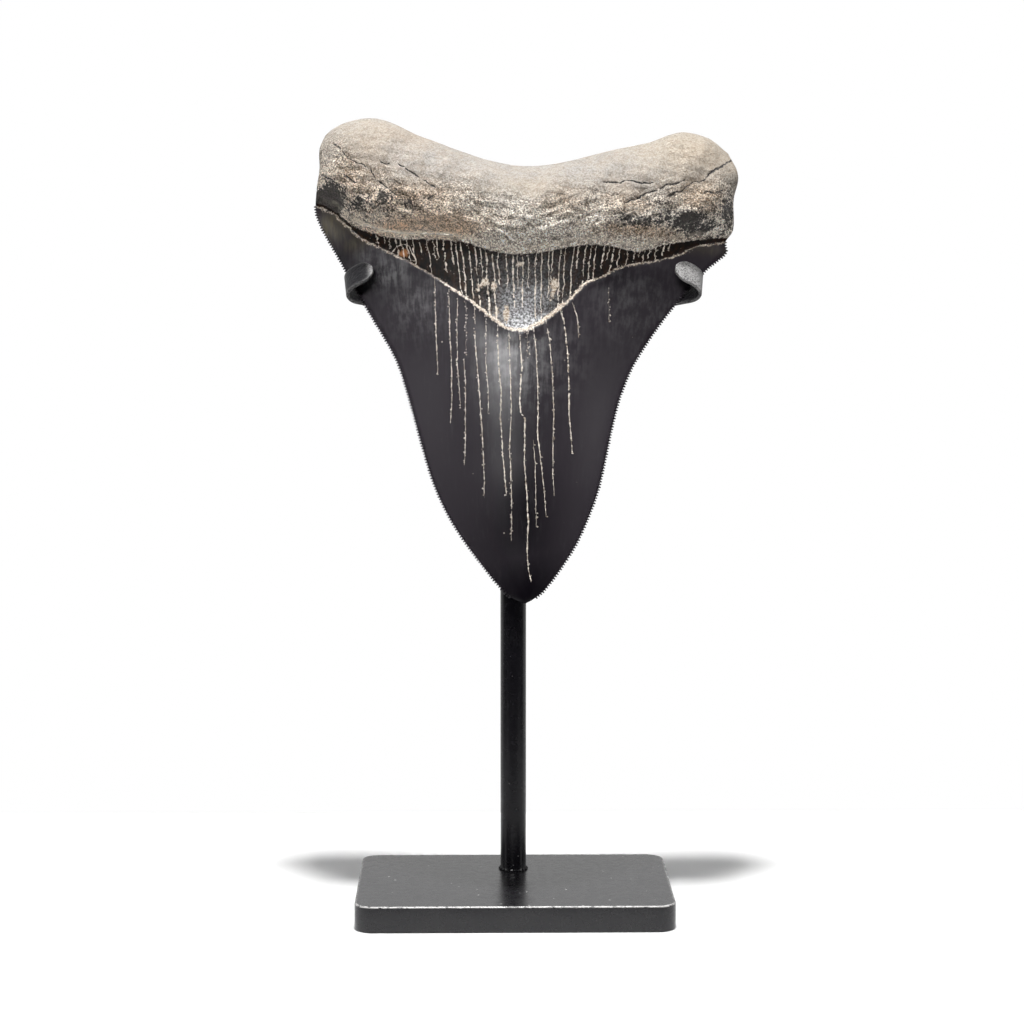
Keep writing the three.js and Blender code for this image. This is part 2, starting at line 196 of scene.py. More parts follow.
# The tooth's outline from its front: its sides as (up, across), its top and borders as (across, up)
LEFT_SIDE = SmoothLine((
    (0, 0), (0.7, -2.0), (2.6, -4.8), (12.9, -12.9), (20.5, -17.8), (28.3, -21.4), (36, -23.8),
    (51.6, -28.1), (59.4, -30.8), (71.2, -37.5), (83.4, -44.2), (90.8, -48.3), (95.3, -50.0),
    (101.4, -49.9), (105.9, -49.3), (111.2, -49.3), (114.5, -48),
))
RIGHT_SIDE = SmoothLine((
    (0, 0), (0.6, 1.3), (3.3, 4.6), (12.8, 11.3), (20.5, 15.0), (28.2, 17.7), (43.7, 21.2),
    (51.5, 23.5), (59.4, 27.2), (71.2, 35.4), (81.1, 44.1), (85.1, 48.7), (87.6, 48.6),
    (90.8, 50.6), (98.4, 50.9), (104.4, 52.1), (110.0, 49.8),
))
ROOT_TOP = SmoothLine((
    (-48, 114.5), (-46.4, 115.8), (-43.1, 117.4), (-37.7, 118.4), (-32.8, 117.5), (-25.5, 113.9),
    (-8.5, 107.5), (1.2, 105.9), (10.9, 107.3), (20.7, 109.9), (30.4, 112.2), (35.2, 114.1),
    (39, 114.9), (45, 113.5), (49.8, 110.0),
))
ENAMEL_LINE = SmoothLine((
    (-50, 96.6), (-45.9, 94.3), (-41.3, 89.9), (-38.4, 87.5), (-31.5, 83.7), (-24.2, 79.3),
    (-12.6, 70.8), (-4.8, 64.5), (-1.8, 63.5), (0.7, 64.1), (4.3, 66), (11.3, 71.9), (14.3, 75.2),
    (18, 76.8), (23.4, 79.8), (32, 81.9), (37.5, 83.8), (41.9, 86), (48.6, 87.7),
))
ROOT_LINE = SmoothLine((
    (-50, 97.6), (-45.9, 95.2), (-41.3, 91), (-38.3, 89.4), (-31.5, 87), (-15.1, 85), (-7.8, 82.5),
    (-1.5, 81.5), (6.8, 82.5), (12.9, 83.9), (20, 84.1), (26.6, 83.2), (33.1, 85.1), (39.6, 86.8),
    (48.6, 88.7),
))
BACK_ENAMEL_LINE = SmoothLine(((-50, 96.6), (-25, 89), (0, 85.5), (25, 86), (48.6, 87.7)))
BACK_ROOT_LINE = SmoothLine(((-50, 97.6), (-25, 90.3), (0, 86.8), (25, 87.3), (48.6, 88.7)))
# How far the crown's faces stand out from the plane of its cutting edges, as (up, distance)
CROWN_FRONT = SmoothLine((
    (0, 0), (1.5, 0.8), (8, 2.3), (18, 4.3), (38, 7.3), (58, 9.4), (82, 10.8), (120, 11.4),
))
CROWN_BACK = SmoothLine(((0, 0), (1.5, 0.5), (18, 1.5), (38, 2.2), (60, 2.7), (84, 3.4), (120, 3.6)))

# Cracks and mineral veins
ROOT_CRACKS = (
    Crack(((-46.0, 111.0), (-44.7, 109.4), (-41.6, 105.3), (-39.2, 104.1), (-36.8, 102.8), (-35.0, 99.9),
           (-32.7, 97.8), (-29.9, 95.4)), 1.0),
    Crack(((-30.4, 103.6), (-28.1, 101.9), (-25.6, 100.3), (-22.3, 97.7), (-20.5, 96.8)), 0.85),
    Crack(((-34.6, 104.2), (-32.9, 103.6), (-31.2, 103.7)), 0.6),
    Crack(((-43.8, 102.5), (-42.2, 101.2), (-39.5, 99.0), (-38.6, 97.2)), 0.6),
    Crack(((-49.2, 103.8), (-46.6, 101.9), (-42.8, 98.1)), 0.9),
    Crack(((51.5, 109.0), (50.2, 107.7), (47.2, 104.4), (44.5, 102.2), (42.6, 100.1), (40.1, 99.5),
           (37.6, 97.5), (33.5, 95.5)), 1.0),
    Crack(((38.6, 100.2), (36.4, 98.8), (33.9, 98.4), (31.4, 96.9), (29.5, 96.2), (26.3, 94.6),
           (23.1, 93.2)), 1.0),
    Crack(((18.1, 98.2), (20.1, 98.6), (22.0, 98.2), (24.0, 99.1), (27.9, 98.3), (31.0, 98.7)), 0.7),
    Crack(((42.0, 96.6), (43.5, 97.3), (45.5, 97.4), (47.9, 98.7)), 0.7),
)
CROWN_VEINS = (
    Vein(0.42, ((-21.3, 76.8), (-20.9, 62.4), (-20.5, 54.1))),
    Vein(0.40, ((-17.9, 74.0), (-17.7, 63.7), (-17.3, 55.9), (-17.2, 47.9), (-17.6, 42.5))),
    Vein(0.28, ((-15.8, 71.3), (-16.0, 66.1), (-15.9, 55.8), (-15.1, 45.8))),
    Vein(0.28, ((-14.4, 57.5), (-14.0, 51.6), (-14.0, 38.3), (-14.3, 32.4))),
    Vein(0.20, ((-13.8, 71.1), (-13.9, 58.0))),
    Vein(0.42, ((-11.8, 70.0), (-11.7, 61.1), (-10.7, 49.0), (-10.0, 38.0), (-9.6, 28.2), (-9.7, 25.0))),
    Vein(0.30, ((-9.1, 67.5), (-9.2, 56.0), (-8.6, 48.9), (-8.7, 44.0))),
    Vein(0.44, ((-6.4, 65.2), (-6.3, 57.1), (-5.6, 48.8), (-5.8, 43.4), (-5.3, 35.5), (-4.7, 28.0),
                (-4.4, 24.8))),
    Vein(0.36, ((-3.8, 63.8), (-3.5, 55.1), (-3.2, 45.2), (-3.7, 35.4), (-3.4, 31.2), (-3.2, 21.5),
                (-3.3, 14.3))),
    Vein(0.54, ((-1.3, 63.2), (-0.7, 55.1), (-1.3, 47.1), (-1.0, 44.1), (0.0, 42.7), (-0.1, 37.8),
                (-0.2, 32.9), (0.4, 24.7), (0.7, 18.3), (0.4, 11.8), (0.7, 7.7), (1.4, 4.9))),
    Vein(0.20, ((0.5, 63.6), (0.8, 57.0))),
    Vein(0.44, ((2.0, 64.4), (2.6, 59.0), (3.0, 51.2), (3.1, 44.2), (2.9, 39.5), (3.9, 31.3), (4.5, 25.6),
                (4.9, 20.0))),
    Vein(0.30, ((1.9, 37.8), (2.4, 31.3), (2.5, 23.2), (2.6, 17.6))),
    Vein(0.38, ((4.8, 66.6), (5.9, 61.2), (6.5, 53.3), (6.8, 43.7), (6.6, 38.0), (6.5, 29.8), (6.9, 25.0))),
    Vein(0.70, ((8.1, 69.6), (9.3, 65.9), (10.1, 59.4), (10.4, 51.7), (10.5, 43.9), (11.2, 35.1))),
    Vein(0.36, ((10.9, 71.6), (12.5, 67.3), (12.8, 62.4))),
    Vein(0.18, ((20.0, 74.8), (20.1, 66.5))),
)
RIM_OF_PATCH = Vein(0.34, (
    (-31.6, 84.0), (-30.4, 85.4), (-28.6, 85.7), (-27.4, 85.2), (-26.6, 83.4), (-25.6, 81.6), (-26.9, 81.9),
))
# The stretches of the cream line on the root's lower rim: where each starts and ends, and its width
RIM_STRETCHES = (
    (-40.0, -28.0, 0.55), (-28.0, -15.0, 0.80), (-10.5, -4.0, 0.22), (12.0, 18.0, 0.22), (23.0, 31.0, 0.24),
)
RIM_LIFT = 1.15

# Hollows of the root: a pit and a groove at the left, a sunken area at the right
HOLLOWS = (Patch(-32.5, 97.5, 2.6, 2.6, 0.9), Patch(-47, 101.5, 3.2, 3.2, 0.9), Patch(38, 94, 5, 5, 0.6))

# Areas of one tint or kind, some of them partly painted shade, sheen or reflection
# Darker areas of the root: partly stain, partly painted shade low on the lobes, under the root's bulge and at
# its right end
DARK_PATCHES = (
    Patch(-47.6, 96.6, 4.4, 3.8, 2.4), Patch(-33.2, 95.3, 2.8, 2.2, 1.0), Patch(-39, 94.8, 6.5, 2.8, 0.72),
    Patch(-29, 93.2, 11, 3.6, 0.66), Patch(-26.8, 91.2, 2.4, 1.6, 0.6), Patch(-8, 86.5, 10, 2.2, 0.2),
    Patch(10, 86.5, 10, 2.4, 0.25), Patch(27, 89.6, 9, 2.0, 0.85), Patch(39, 90.4, 10, 2.8, 1.1),
    Patch(49.5, 94.0, 4.0, 5.5, 0.85), Patch(32, 94.2, 5, 2.2, 0.5), Patch(50.5, 101, 2, 5, 0.4),
    Patch(17, 90.2, 6, 2.4, 0.3),
)
BROWN_PATCHES = (
    Patch(-40, 101, 10, 10, 0.75), Patch(-28, 95, 14, 5, 0.95), Patch(-16, 89, 9, 3, 0.7),
    Patch(10, 94, 8, 4, 0.6), Patch(42, 97, 8, 5, 0.9), Patch(43, 106, 9, 6, 0.45),
    Patch(-26, 112, 10, 3.5, 0.55), Patch(24, 94, 8, 4.5, 0.7), Patch(28, 87.6, 12, 1.8, 0.95),
)
CREAM_PATCHES = (Patch(40, 108, 14, 8, 0.9), Patch(-38, 112, 12, 6, 0.5), Patch(0, 97, 10, 3, 0.5))
RUST_PATCHES = (
    Patch(-22, 89.6, 6, 2.4, 0.7),
    Patch(-29, 89.0, 8, 1.7, 1.0), Patch(-17, 87.2, 7, 1.5, 0.85), Patch(-28.6, 83.7, 1.6, 1.3, 0.9),
    Patch(-36.5, 89.6, 3.0, 1.1, 0.5), Patch(-24.5, 83.0, 2.6, 1.2, 0.35),
)
CRUST_PATCHES = (
    Patch(-9.5, 75.2, 1.6, 1.0), Patch(-7.3, 74.2, 1.0, 1.3), Patch(-11.2, 73.4, 0.7, 0.9, 0.7),
    Patch(7.0, 74.8, 1.4, 2.1, 0.8), Patch(-4.3, 67.6, 0.9, 2.4, 0.9), Patch(-1.1, 79.3, 1.3, 0.6, 0.9),
    Patch(-6.6, 68.2, 0.9, 1.6, 0.6), Patch(6.4, 71.6, 1.0, 1.6, 0.6),
)
# Pale grey dust on the band, thickest at the bottom of the chevron, partly a painted sheen
DUST_AND_SHEEN_PATCHES = (Patch(-0.5, 65.5, 6.5, 4.2), Patch(0.0, 71.0, 7.0, 5.0, 0.45), Patch(0, 78, 12, 5, 0.12))
HOLE = Patch(-8.4, 72.4, 1.0, 1.15)
# Deep black areas of the enamel: a painted dark reflection down the crown's middle to its point, and darker
# enamel near the border
DEEP_AND_DARK_REFLECTION_PATCHES = (
    Patch(0, 2, 9, 13), Patch(-1, 20, 8, 15, 0.95), Patch(-3, 40, 8, 12, 0.6), Patch(20, 78, 9, 3, 0.5),
    Patch(-43, 84.5, 4.0, 4.5, 0.7), Patch(-36, 79, 3, 3, 0.5),
)
# Pale areas of the enamel: partly whitish streaks, partly a painted sheen in the crown's upper middle
BLOOM_AND_SHEEN_PATCHES = (
    Patch(-32, 79.5, 6.0, 4.5, 0.9), Patch(-25, 72, 7, 8, 0.6), Patch(-1, 58, 9, 10, 0.9),
    Patch(-36, 84, 4, 3, 0.6), Patch(9, 60, 6, 10, 0.3), Patch(26, 72, 12, 10, 0.35),
)
OLIVE_PATCHES = (
    Patch(-45.5, 91.5, 4.0, 3.4, 1.0), Patch(-40.5, 87.0, 3.0, 2.0, 0.6), Patch(44, 85.5, 6, 1.4, 0.4),
)


@dataclass(frozen=True)
class ToothForm:
    """The tooth's outer form, in millimetres in its own frame: across, up its long axis, and front."""

    point: tuple[float, float, float] = (2.4, -18.0, 77.3)
    lean: float = math.radians(16)
    root_front: float = 15.8
    root_back: float = 6.2
    root_top_round: float = 13.0
    root_end_round: float = 9.0
    lobe_thinning: float = 0.3
    enamel_ledge: float = 0.6
    root_ledge: float = 1.0
    border_swell: float = 0.13
    fine_grain: float = 0.24
    broad_grain: float = 0.34
    fold_height: float = 0.55
    crack_depth: float = 0.20
    crack_lip: float = 0.12

    def share(self, across: np.ndarray, up: np.ndarray) -> np.ndarray:
        """Gives where points lie between the sides: -1 at the left one, 1 at the right one.

        Args:
            across: places across.
            up: places up.
        Returns:
            The places.
        """
        left = LEFT_SIDE(up)
        width = np.maximum(RIGHT_SIDE(up) - left, 1e-6)
        return np.clip(2 * (across - left) / width - 1, -1, 1)

    def fullness(self, across: np.ndarray, up: np.ndarray) -> np.ndarray:
        """Gives how full the root is, rounded over along its top and at its ends.

        Args:
            across: places across.
            up: places up.
        Returns:
            Shares, from 0 at its outline to 1 inside.
        """
        to_top = ROOT_TOP(across) - up
        to_end = np.minimum(across - LEFT_SIDE(up), RIGHT_SIDE(up) - across)
        return quarter_round(to_top, self.root_top_round) * quarter_round(to_end, self.root_end_round)

    def lumps(self, across: np.ndarray, up: np.ndarray) -> np.ndarray:
        """Gives the height of the root's uneven lumps.

        Args:
            across: places across.
            up: places up.
        Returns:
            Heights, above and below 0.
        """
        broad = 0.45 * np.sin(0.31 * across + 1.3) * np.sin(0.36 * up + 0.4)
        slanting = 0.3 * np.sin(0.66 * across - 0.5 * up + 2.1)
        small = 0.16 * np.sin(1.2 * across + 0.9 * up) * np.sin(0.8 * across - 1.5 * up + 0.7)
        return broad + slanting + small

    def hollows(self, across: np.ndarray, up: np.ndarray) -> np.ndarray:
        """Gives the depth of the root's hollows."""
        return sum(patch.at(across, up) for patch in HOLLOWS)

    def gaps(self, across: np.ndarray, up: np.ndarray, face: Face) -> tuple[np.ndarray, np.ndarray]:
        """Gives how far points stand above the enamel's border and above the root's lower rim.

        Args:
            across: places across.
            up: places up.
            face: the face that the points are on.
        Returns:
            The two distances, square to the lines.
        """
        front = face is Face.FRONT
        enamel = ENAMEL_LINE if front else BACK_ENAMEL_LINE
        root = ROOT_LINE if front else BACK_ROOT_LINE
        above_enamel = (up - enamel(across)) / np.hypot(1, enamel.slope(across))
        above_root = (up - root(across)) / np.hypot(1, root.slope(across))
        return above_enamel, above_root

    def front_height(self, across: np.ndarray, up: np.ndarray) -> np.ndarray:
        """Gives how far the front face stands ahead of the plane of the cutting edges.

        Args:
            across: places across.
            up: places up.
        Returns:
            Distances.
        """
        share = self.share(across, up)
        above_enamel = up - ENAMEL_LINE(across)
        above_root = up - ROOT_LINE(across)
        crown = CROWN_FRONT(up) * (1 - share * share) ** 1.25
        thinning = np.maximum(1 - self.lobe_thinning * (across / 40) ** 2, 0.5)
        body = self.root_front * thinning + self.lumps(across, up) - self.hollows(across, up)
        height = blend(crown, body * self.fullness(across, up), smoothstep(above_root, -3, 9))
        inside = np.minimum(1, (1 - np.abs(share)) * 8)
        middle = np.maximum(0, 1 - np.abs(across) / 32)
        lip = 0.5 * middle * np.where(above_enamel > 0, 0, np.exp(-((above_enamel / 3) ** 2)))
        sunken = self.enamel_ledge * smoothstep(above_enamel, 0, 0.8) * (1 - smoothstep(above_root, 0, 5))
        rim = self.root_ledge * smoothstep(above_root, -0.9, 0) * (1 - smoothstep(above_root, 3, 9))
        return np.maximum(0, height + inside * (lip - sunken + rim + self.relief(across, up, Face.FRONT)))

    def back_height(self, across: np.ndarray, up: np.ndarray) -> np.ndarray:
        """Gives how far the back face stands behind the same plane.

        Args:
            across: places across.
            up: places up.
        Returns:
            Distances.
        """
        share = self.share(across, up)
        above_root = up - BACK_ROOT_LINE(across)
        crown = CROWN_BACK(up) * (1 - np.abs(share) ** 2.4)
        root = (self.root_back + 0.6 * self.lumps(across + 11, up + 5)) * self.fullness(across, up)
        height = blend(crown, root, smoothstep(above_root, -1, 8))
        inside = np.minimum(1, (1 - np.abs(share)) * 8)
        ledge = 0.35 * smoothstep(up - BACK_ENAMEL_LINE(across), 0, 0.8) * (1 - smoothstep(above_root, 1, 5))
        return np.maximum(0, height - inside * (ledge - self.relief(across, up, Face.BACK)))

    def relief(self, across: np.ndarray, up: np.ndarray, face: Face) -> np.ndarray:
        """Gives the fine relief: the root's grain, folds and cracks, the swollen border and the crusts.

        Args:
            across: places across.
            up: places up.
            face: the face that the points are on.
        Returns:
            Heights to add to the face.
        """
        above_enamel, above_root = self.gaps(across, up, face)
        seed = 3.0 * face.value
        on_root = smoothstep(above_root, -0.2, 0.8)
        coarse = self.coarse(across, up, face)
        fine = self.fine_grain * uneven(across, up, (0.9, 0.7), seed + 1)
        grain = fine + self.broad_grain * uneven(across, up, (2.6, 1.5), seed + 2)
        slope = np.where(across < 0, 0.62, -0.42)
        folds = self.fold_height * coarse * uneven(across, up + slope * across, (6.0, 1.2), seed + 3)
        ragged = 0.35 * uneven(across, up, (1.5, 1.5), seed + 4)
        border = self.border_swell * np.exp(-(((above_enamel + 0.25 + ragged) / 0.45) ** 2))
        offset, presence = self.cracks(across, up, face)
        groove = self.crack_depth * np.exp(-((offset / 0.34) ** 2))
        lip = self.crack_lip * np.exp(-(((offset + 0.7) / 0.5) ** 2))
        opened = presence * (groove - lip)
        total = on_root * ((0.07 + 0.93 * coarse) * grain + folds - opened) + border
        if face is Face.FRONT:
            on_band = smoothstep(above_enamel, 0.4, 1) * (1 - on_root)
            hole = HOLE.at(across, up)
            crumbly = 0.45 + 0.6 * uneven(across, up, (0.7, 0.7), 9)
            crust = painted(CRUST_PATCHES, across, up) * (1 - hole) * crumbly
            total += on_band * (crust - hole + 0.05 * uneven(across, up, (0.7, 5), 10))
        return total

    def coarse(self, across: np.ndarray, up: np.ndarray, face: Face) -> np.ndarray:
        """Gives how coarse the root's grain is, from 0 along its smooth top to 1 above its lower rim."""
        above_root = self.gaps(across, up, face)[1] + 2.5 * uneven(across, up, (5, 5), 12)
        return 1 - 0.92 * smoothstep(above_root, 4, 17)

    def cracks(self, across: np.ndarray, up: np.ndarray, face: Face) -> tuple[np.ndarray, np.ndarray]:
        """Finds the nearest open crack of the root, each of which wanders a little about its path.

        Args:
            across: places across.
            up: places up.
            face: the face that the points are on.
        Returns:
            How far above the crack each point is, with its sign, and how strong the crack is there.
        """
        if face is Face.BACK:
            across = -0.93 * across
        across = across + 0.35 * uneven(across, up, (1.4, 1.4), 5)
        up = up + 0.35 * uneven(across, up, (1.4, 1.4), 6)
        offset = np.full(np.shape(across), 9.0)
        strength = np.zeros(np.shape(across))
        for crack in ROOT_CRACKS:
            places, heights = np.array(sorted(crack.path), float).T
            line_up = np.interp(across, places, heights)
            rise = np.gradient(heights, places)
            tilt = np.hypot(1, np.interp(across, places, rise))
            gap = (up - line_up) / tilt
            past_end = np.maximum(places[0] - across, across - places[-1])
            here = (1 - smoothstep(past_end, -1.2, 0.4)) * crack.strength
            nearer = np.abs(gap) < np.abs(offset)
            chosen = nearer & (here > 0)
            offset = np.where(chosen, gap, offset)
            strength = np.where(chosen, here, strength)
        return offset, strength * np.exp(-((offset / 1.6) ** 4))

    def place(self, across: np.ndarray, up: np.ndarray, front: np.ndarray) -> np.ndarray:
        """Takes points from the tooth's own frame to the stand's.

        Args:
            across: places across.
            up: places up.
            front: places ahead of the plane of the cutting edges.
        Returns:
            Rows of x, y and z, in millimetres.
        """
        back = up * math.sin(self.lean) - front * math.cos(self.lean)
        height = up * math.cos(self.lean) + front * math.sin(self.lean)
        return np.stack([across, back, height], axis=-1) + np.array(self.point)


class NodeGraph:
    """Adds nodes to one tree and links them, for materials and Geometry Nodes alike."""

    def __init__(self, tree: bpy.types.NodeTree) -> None:
        """Keeps the tree that the nodes go into."""
        self.tree = tree

    def feed(self, socket: bpy.types.NodeSocket, value: Feed) -> None:
        """Links a socket to the input, or sets the input's own value.

        Args:
            socket: the input.
            value: another node's socket, or a plain value.
        """
        if isinstance(value, bpy.types.NodeSocket):
            self.tree.links.new(value, socket)
        else:
            socket.default_value = value

    def add(self, kind: str, feeds: dict[str | int, Feed] | None = None, **settings: Feed) -> bpy.types.Node:
        """Adds one node.

        Args:
            kind: the node's type.
            feeds: a value or a socket for each input, by name or number.
            settings: the node's own properties.
        Returns:
            The node.
        """
        node = self.tree.nodes.new(kind)
        for name, value in settings.items():
            setattr(node, name, value)
        for key, value in (feeds or {}).items():
            self.feed(node.inputs[key], value)
        return node

    def math(self, operation: str, first: Feed, second: Feed = 0.0) -> bpy.types.NodeSocket:
        """Adds a Math node and gives its result."""
        return self.add("ShaderNodeMath", {0: first, 1: second}, operation=operation).outputs[0]

    def times(self, first: Feed, second: Feed) -> bpy.types.NodeSocket:
        """Gives the product of two numbers."""
        return self.math("MULTIPLY", first, second)

    def plus(self, first: Feed, second: Feed) -> bpy.types.NodeSocket:
        """Gives the sum of two numbers."""
        return self.math("ADD", first, second)

    def minus(self, first: Feed, second: Feed) -> bpy.types.NodeSocket:
        """Gives the first number less the second."""
        return self.math("SUBTRACT", first, second)

    def larger(self, first: Feed, second: Feed) -> bpy.types.NodeSocket:
        """Gives the larger of two numbers."""
        return self.math("MAXIMUM", first, second)

    def centred(self, value: Feed) -> bpy.types.NodeSocket:
        """Moves a value from between 0 and 1 to between -0.5 and 0.5."""
        return self.minus(value, 0.5)

    def vector_math(self, operation: str, first: Feed, second: Feed) -> bpy.types.NodeSocket:
        """Adds a Vector Math node and gives its vector."""
        return self.add("ShaderNodeVectorMath", {0: first, 1: second}, operation=operation).outputs[0]

    def scaled(self, vector: Feed, factor: Feed) -> bpy.types.NodeSocket:
        """Gives a vector times a number."""
        node = self.add("ShaderNodeVectorMath", {0: vector, "Scale": factor}, operation="SCALE")
        return node.outputs[0]

    def window(self, value: Feed, low: float, high: float, start: float = 0.0, end: float = 1.0) -> Feed:
        """Goes smoothly from start to end as the value goes from low to high.

        Args:
            value: the number to read.
            low: where it starts.
            high: where it ends.
            start: the result at low.
            end: the result at high.
        Returns:
            The result's socket.
        """
        feeds = {"Value": value, "From Min": low, "From Max": high, "To Min": start, "To Max": end}
        return self.add("ShaderNodeMapRange", feeds, interpolation_type="SMOOTHSTEP").outputs[0]

    def noise(self, vector: Feed, scale: float, detail: float = 2.0,
              roughness: float = 0.5) -> bpy.types.NodeSocket:
        """Adds a noise texture and gives its value.

        Args:
            vector: where to read it.
            scale: how fine it is.
            detail: how many finer layers it has.
            roughness: how strong these are.
        Returns:
            The value's socket, from 0 to 1.
        """
        feeds = {"Vector": vector, "Scale": scale, "Detail": detail, "Roughness": roughness}
        return self.add("ShaderNodeTexNoise", feeds).outputs[0]


class FinishGraph(NodeGraph):
    """The nodes of one material, ending in one surface shader."""

    def __init__(self, name: str) -> None:
        """Makes the material with its shader and its output.

        Args:
            name: the material's name.
        """
        self.material = bpy.data.materials.new(name)
        self.material.use_nodes = True
        super().__init__(self.material.node_tree)
        self.tree.nodes.clear()
        self.shader = self.add("ShaderNodeBsdfPrincipled")
        self.add("ShaderNodeOutputMaterial", {"Surface": self.shader.outputs[0]})

    def mix(self, share: Feed, first: Feed, second: Feed, mode: str = "MIX") -> bpy.types.NodeSocket:
        """Mixes two colours.

        Args:
            share: how much of the second there is.
            first: the colour under it.
            second: the colour on it.
            mode: the way of mixing.
        Returns:
            The colour's socket.
        """
        feeds = {0: share, 6: first, 7: second}
        node = self.add("ShaderNodeMix", feeds, data_type="RGBA", blend_type=mode)
        return node.outputs[2]

    def attribute(self, name: str, vector: bool = False) -> bpy.types.NodeSocket:
        """Reads one of the piece's own attributes, as a number or as a vector."""
        node = self.add("ShaderNodeAttribute", attribute_name=name)
        return node.outputs["Vector" if vector else "Fac"]

    def stretched(self, vector: Feed, scale: tuple[float, float, float]) -> bpy.types.NodeSocket:
        """Scales a vector along each axis."""
        return self.add("ShaderNodeMapping", {"Vector": vector, "Scale": scale}).outputs[0]

    def in_millimetres(self) -> bpy.types.NodeSocket:
        """Gives Object coordinates in millimetres."""
        place = self.add("ShaderNodeTexCoord").outputs["Object"]
        return self.stretched(place, (1 / MM, 1 / MM, 1 / MM))

    def flecks(self, vector: Feed, scale: float, size: float) -> bpy.types.NodeSocket:
        """Gives small round flecks in random places.

        Args:
            vector: where to read them.
            scale: how many cells there are in a unit, with at most one fleck in each.
            size: the largest fleck's radius, as a share of a cell.
        Returns:
            A socket that is 1 in a fleck and 0 outside.
        """
        cell = self.add("ShaderNodeTexVoronoi", {"Vector": vector, "Scale": scale})
        wanted = self.window(cell.outputs["Color"], 0.55, 1.0, 0.0, size)
        return self.window(self.math("SUBTRACT", wanted, cell.outputs["Distance"]), 0.0, 0.04)

    def bump(self, height: Feed, depth: float, under: Feed | None = None) -> bpy.types.NodeSocket:
        """Adds a bump, on top of another where one is given.

        Args:
            height: the pattern.
            depth: how deep it is, in metres.
            under: the bump under it.
        Returns:
            The normal's socket.
        """
        feeds: dict[str | int, Feed] = {"Height": height, "Distance": depth, "Strength": 1.0}
        if under is not None:
            feeds["Normal"] = under
        return self.add("ShaderNodeBump", feeds).outputs[0]

    def finish(self, colour: Feed, roughness: Feed, normal: Feed, specular: Feed = 0.5) -> bpy.types.Material:
        """Sets the shader.

        Args:
            colour: the base colour.
            roughness: how dull it is.
            normal: the bumps.
            specular: how strong its gloss is.
        Returns:
            The material.
        """
        feeds = {"Base Color": colour, "Roughness": roughness, "Normal": normal,
                 "Specular IOR Level": specular}
        for name, value in feeds.items():
            self.feed(self.shader.inputs[name], value)
        return self.material


@dataclass(frozen=True)
class FossilFinish:
    """The fossil's finish: grainy root, dark band with brown tints, satin enamel and cream borders."""

    name: str = "fossil_tooth"
    # Painted light: the top's colours are darker than the lower root's, to even out the stronger light on the
    # top
    top_pale: Colour = (0.37, 0.335, 0.295, 1)
    top_grey: Colour = (0.35, 0.33, 0.305, 1)
    top_cream: Colour = (0.405, 0.355, 0.285, 1)
    top_brown: Colour = (0.35, 0.275, 0.205, 1)
    top_shade: Colour = (0.78, 0.74, 0.70, 1)
    # The grains' pale and warm colours are partly their own tone and partly painted highlights on their crests
    grain_pale_highlight: Colour = (0.93, 0.865, 0.775, 1)
    grain_warm_highlight: Colour = (0.64, 0.49, 0.35, 1)
    ground_grey: Colour = (0.50, 0.43, 0.355, 1)
    ground_brown: Colour = (0.34, 0.22, 0.125, 1)
    rim_cream: Colour = (0.95, 0.84, 0.69, 1)
    root_rust: Colour = (0.70, 0.47, 0.30, 1)
    root_dark: Colour = (0.014, 0.012, 0.012, 1)
    rust: Colour = (0.30, 0.13, 0.055, 1)
    band: Colour = (0.0045, 0.0036, 0.0036, 1)
    band_brown: Colour = (0.020, 0.009, 0.005, 1)
    enamel: Colour = (0.0225, 0.0185, 0.0235, 1)
    enamel_deep_and_dark_reflection: Colour = (0.0030, 0.0022, 0.0040, 1)
    enamel_bloom_and_sheen: Colour = (0.15, 0.148, 0.15, 1)
    enamel_olive: Colour = (0.085, 0.072, 0.045, 1)
    cream: Colour = (0.60, 0.54, 0.455, 1)
    stain: Colour = (0.19, 0.13, 0.085, 1)
    pearl_and_sheen: Colour = (0.74, 0.75, 0.77, 1)
    border_width: float = 0.50
    rim_width: float = 0.40
    enamel_gloss: float = 0.5
    band_gloss: float = 0.14
    root_gloss: float = 0.5
    band_roughness: float = 0.58
    root_roughness: float = 0.60
    root_bump: float = 0.85

    def build(self) -> bpy.types.Material:
        """Makes the material."""
        return FossilNodes(self).build()


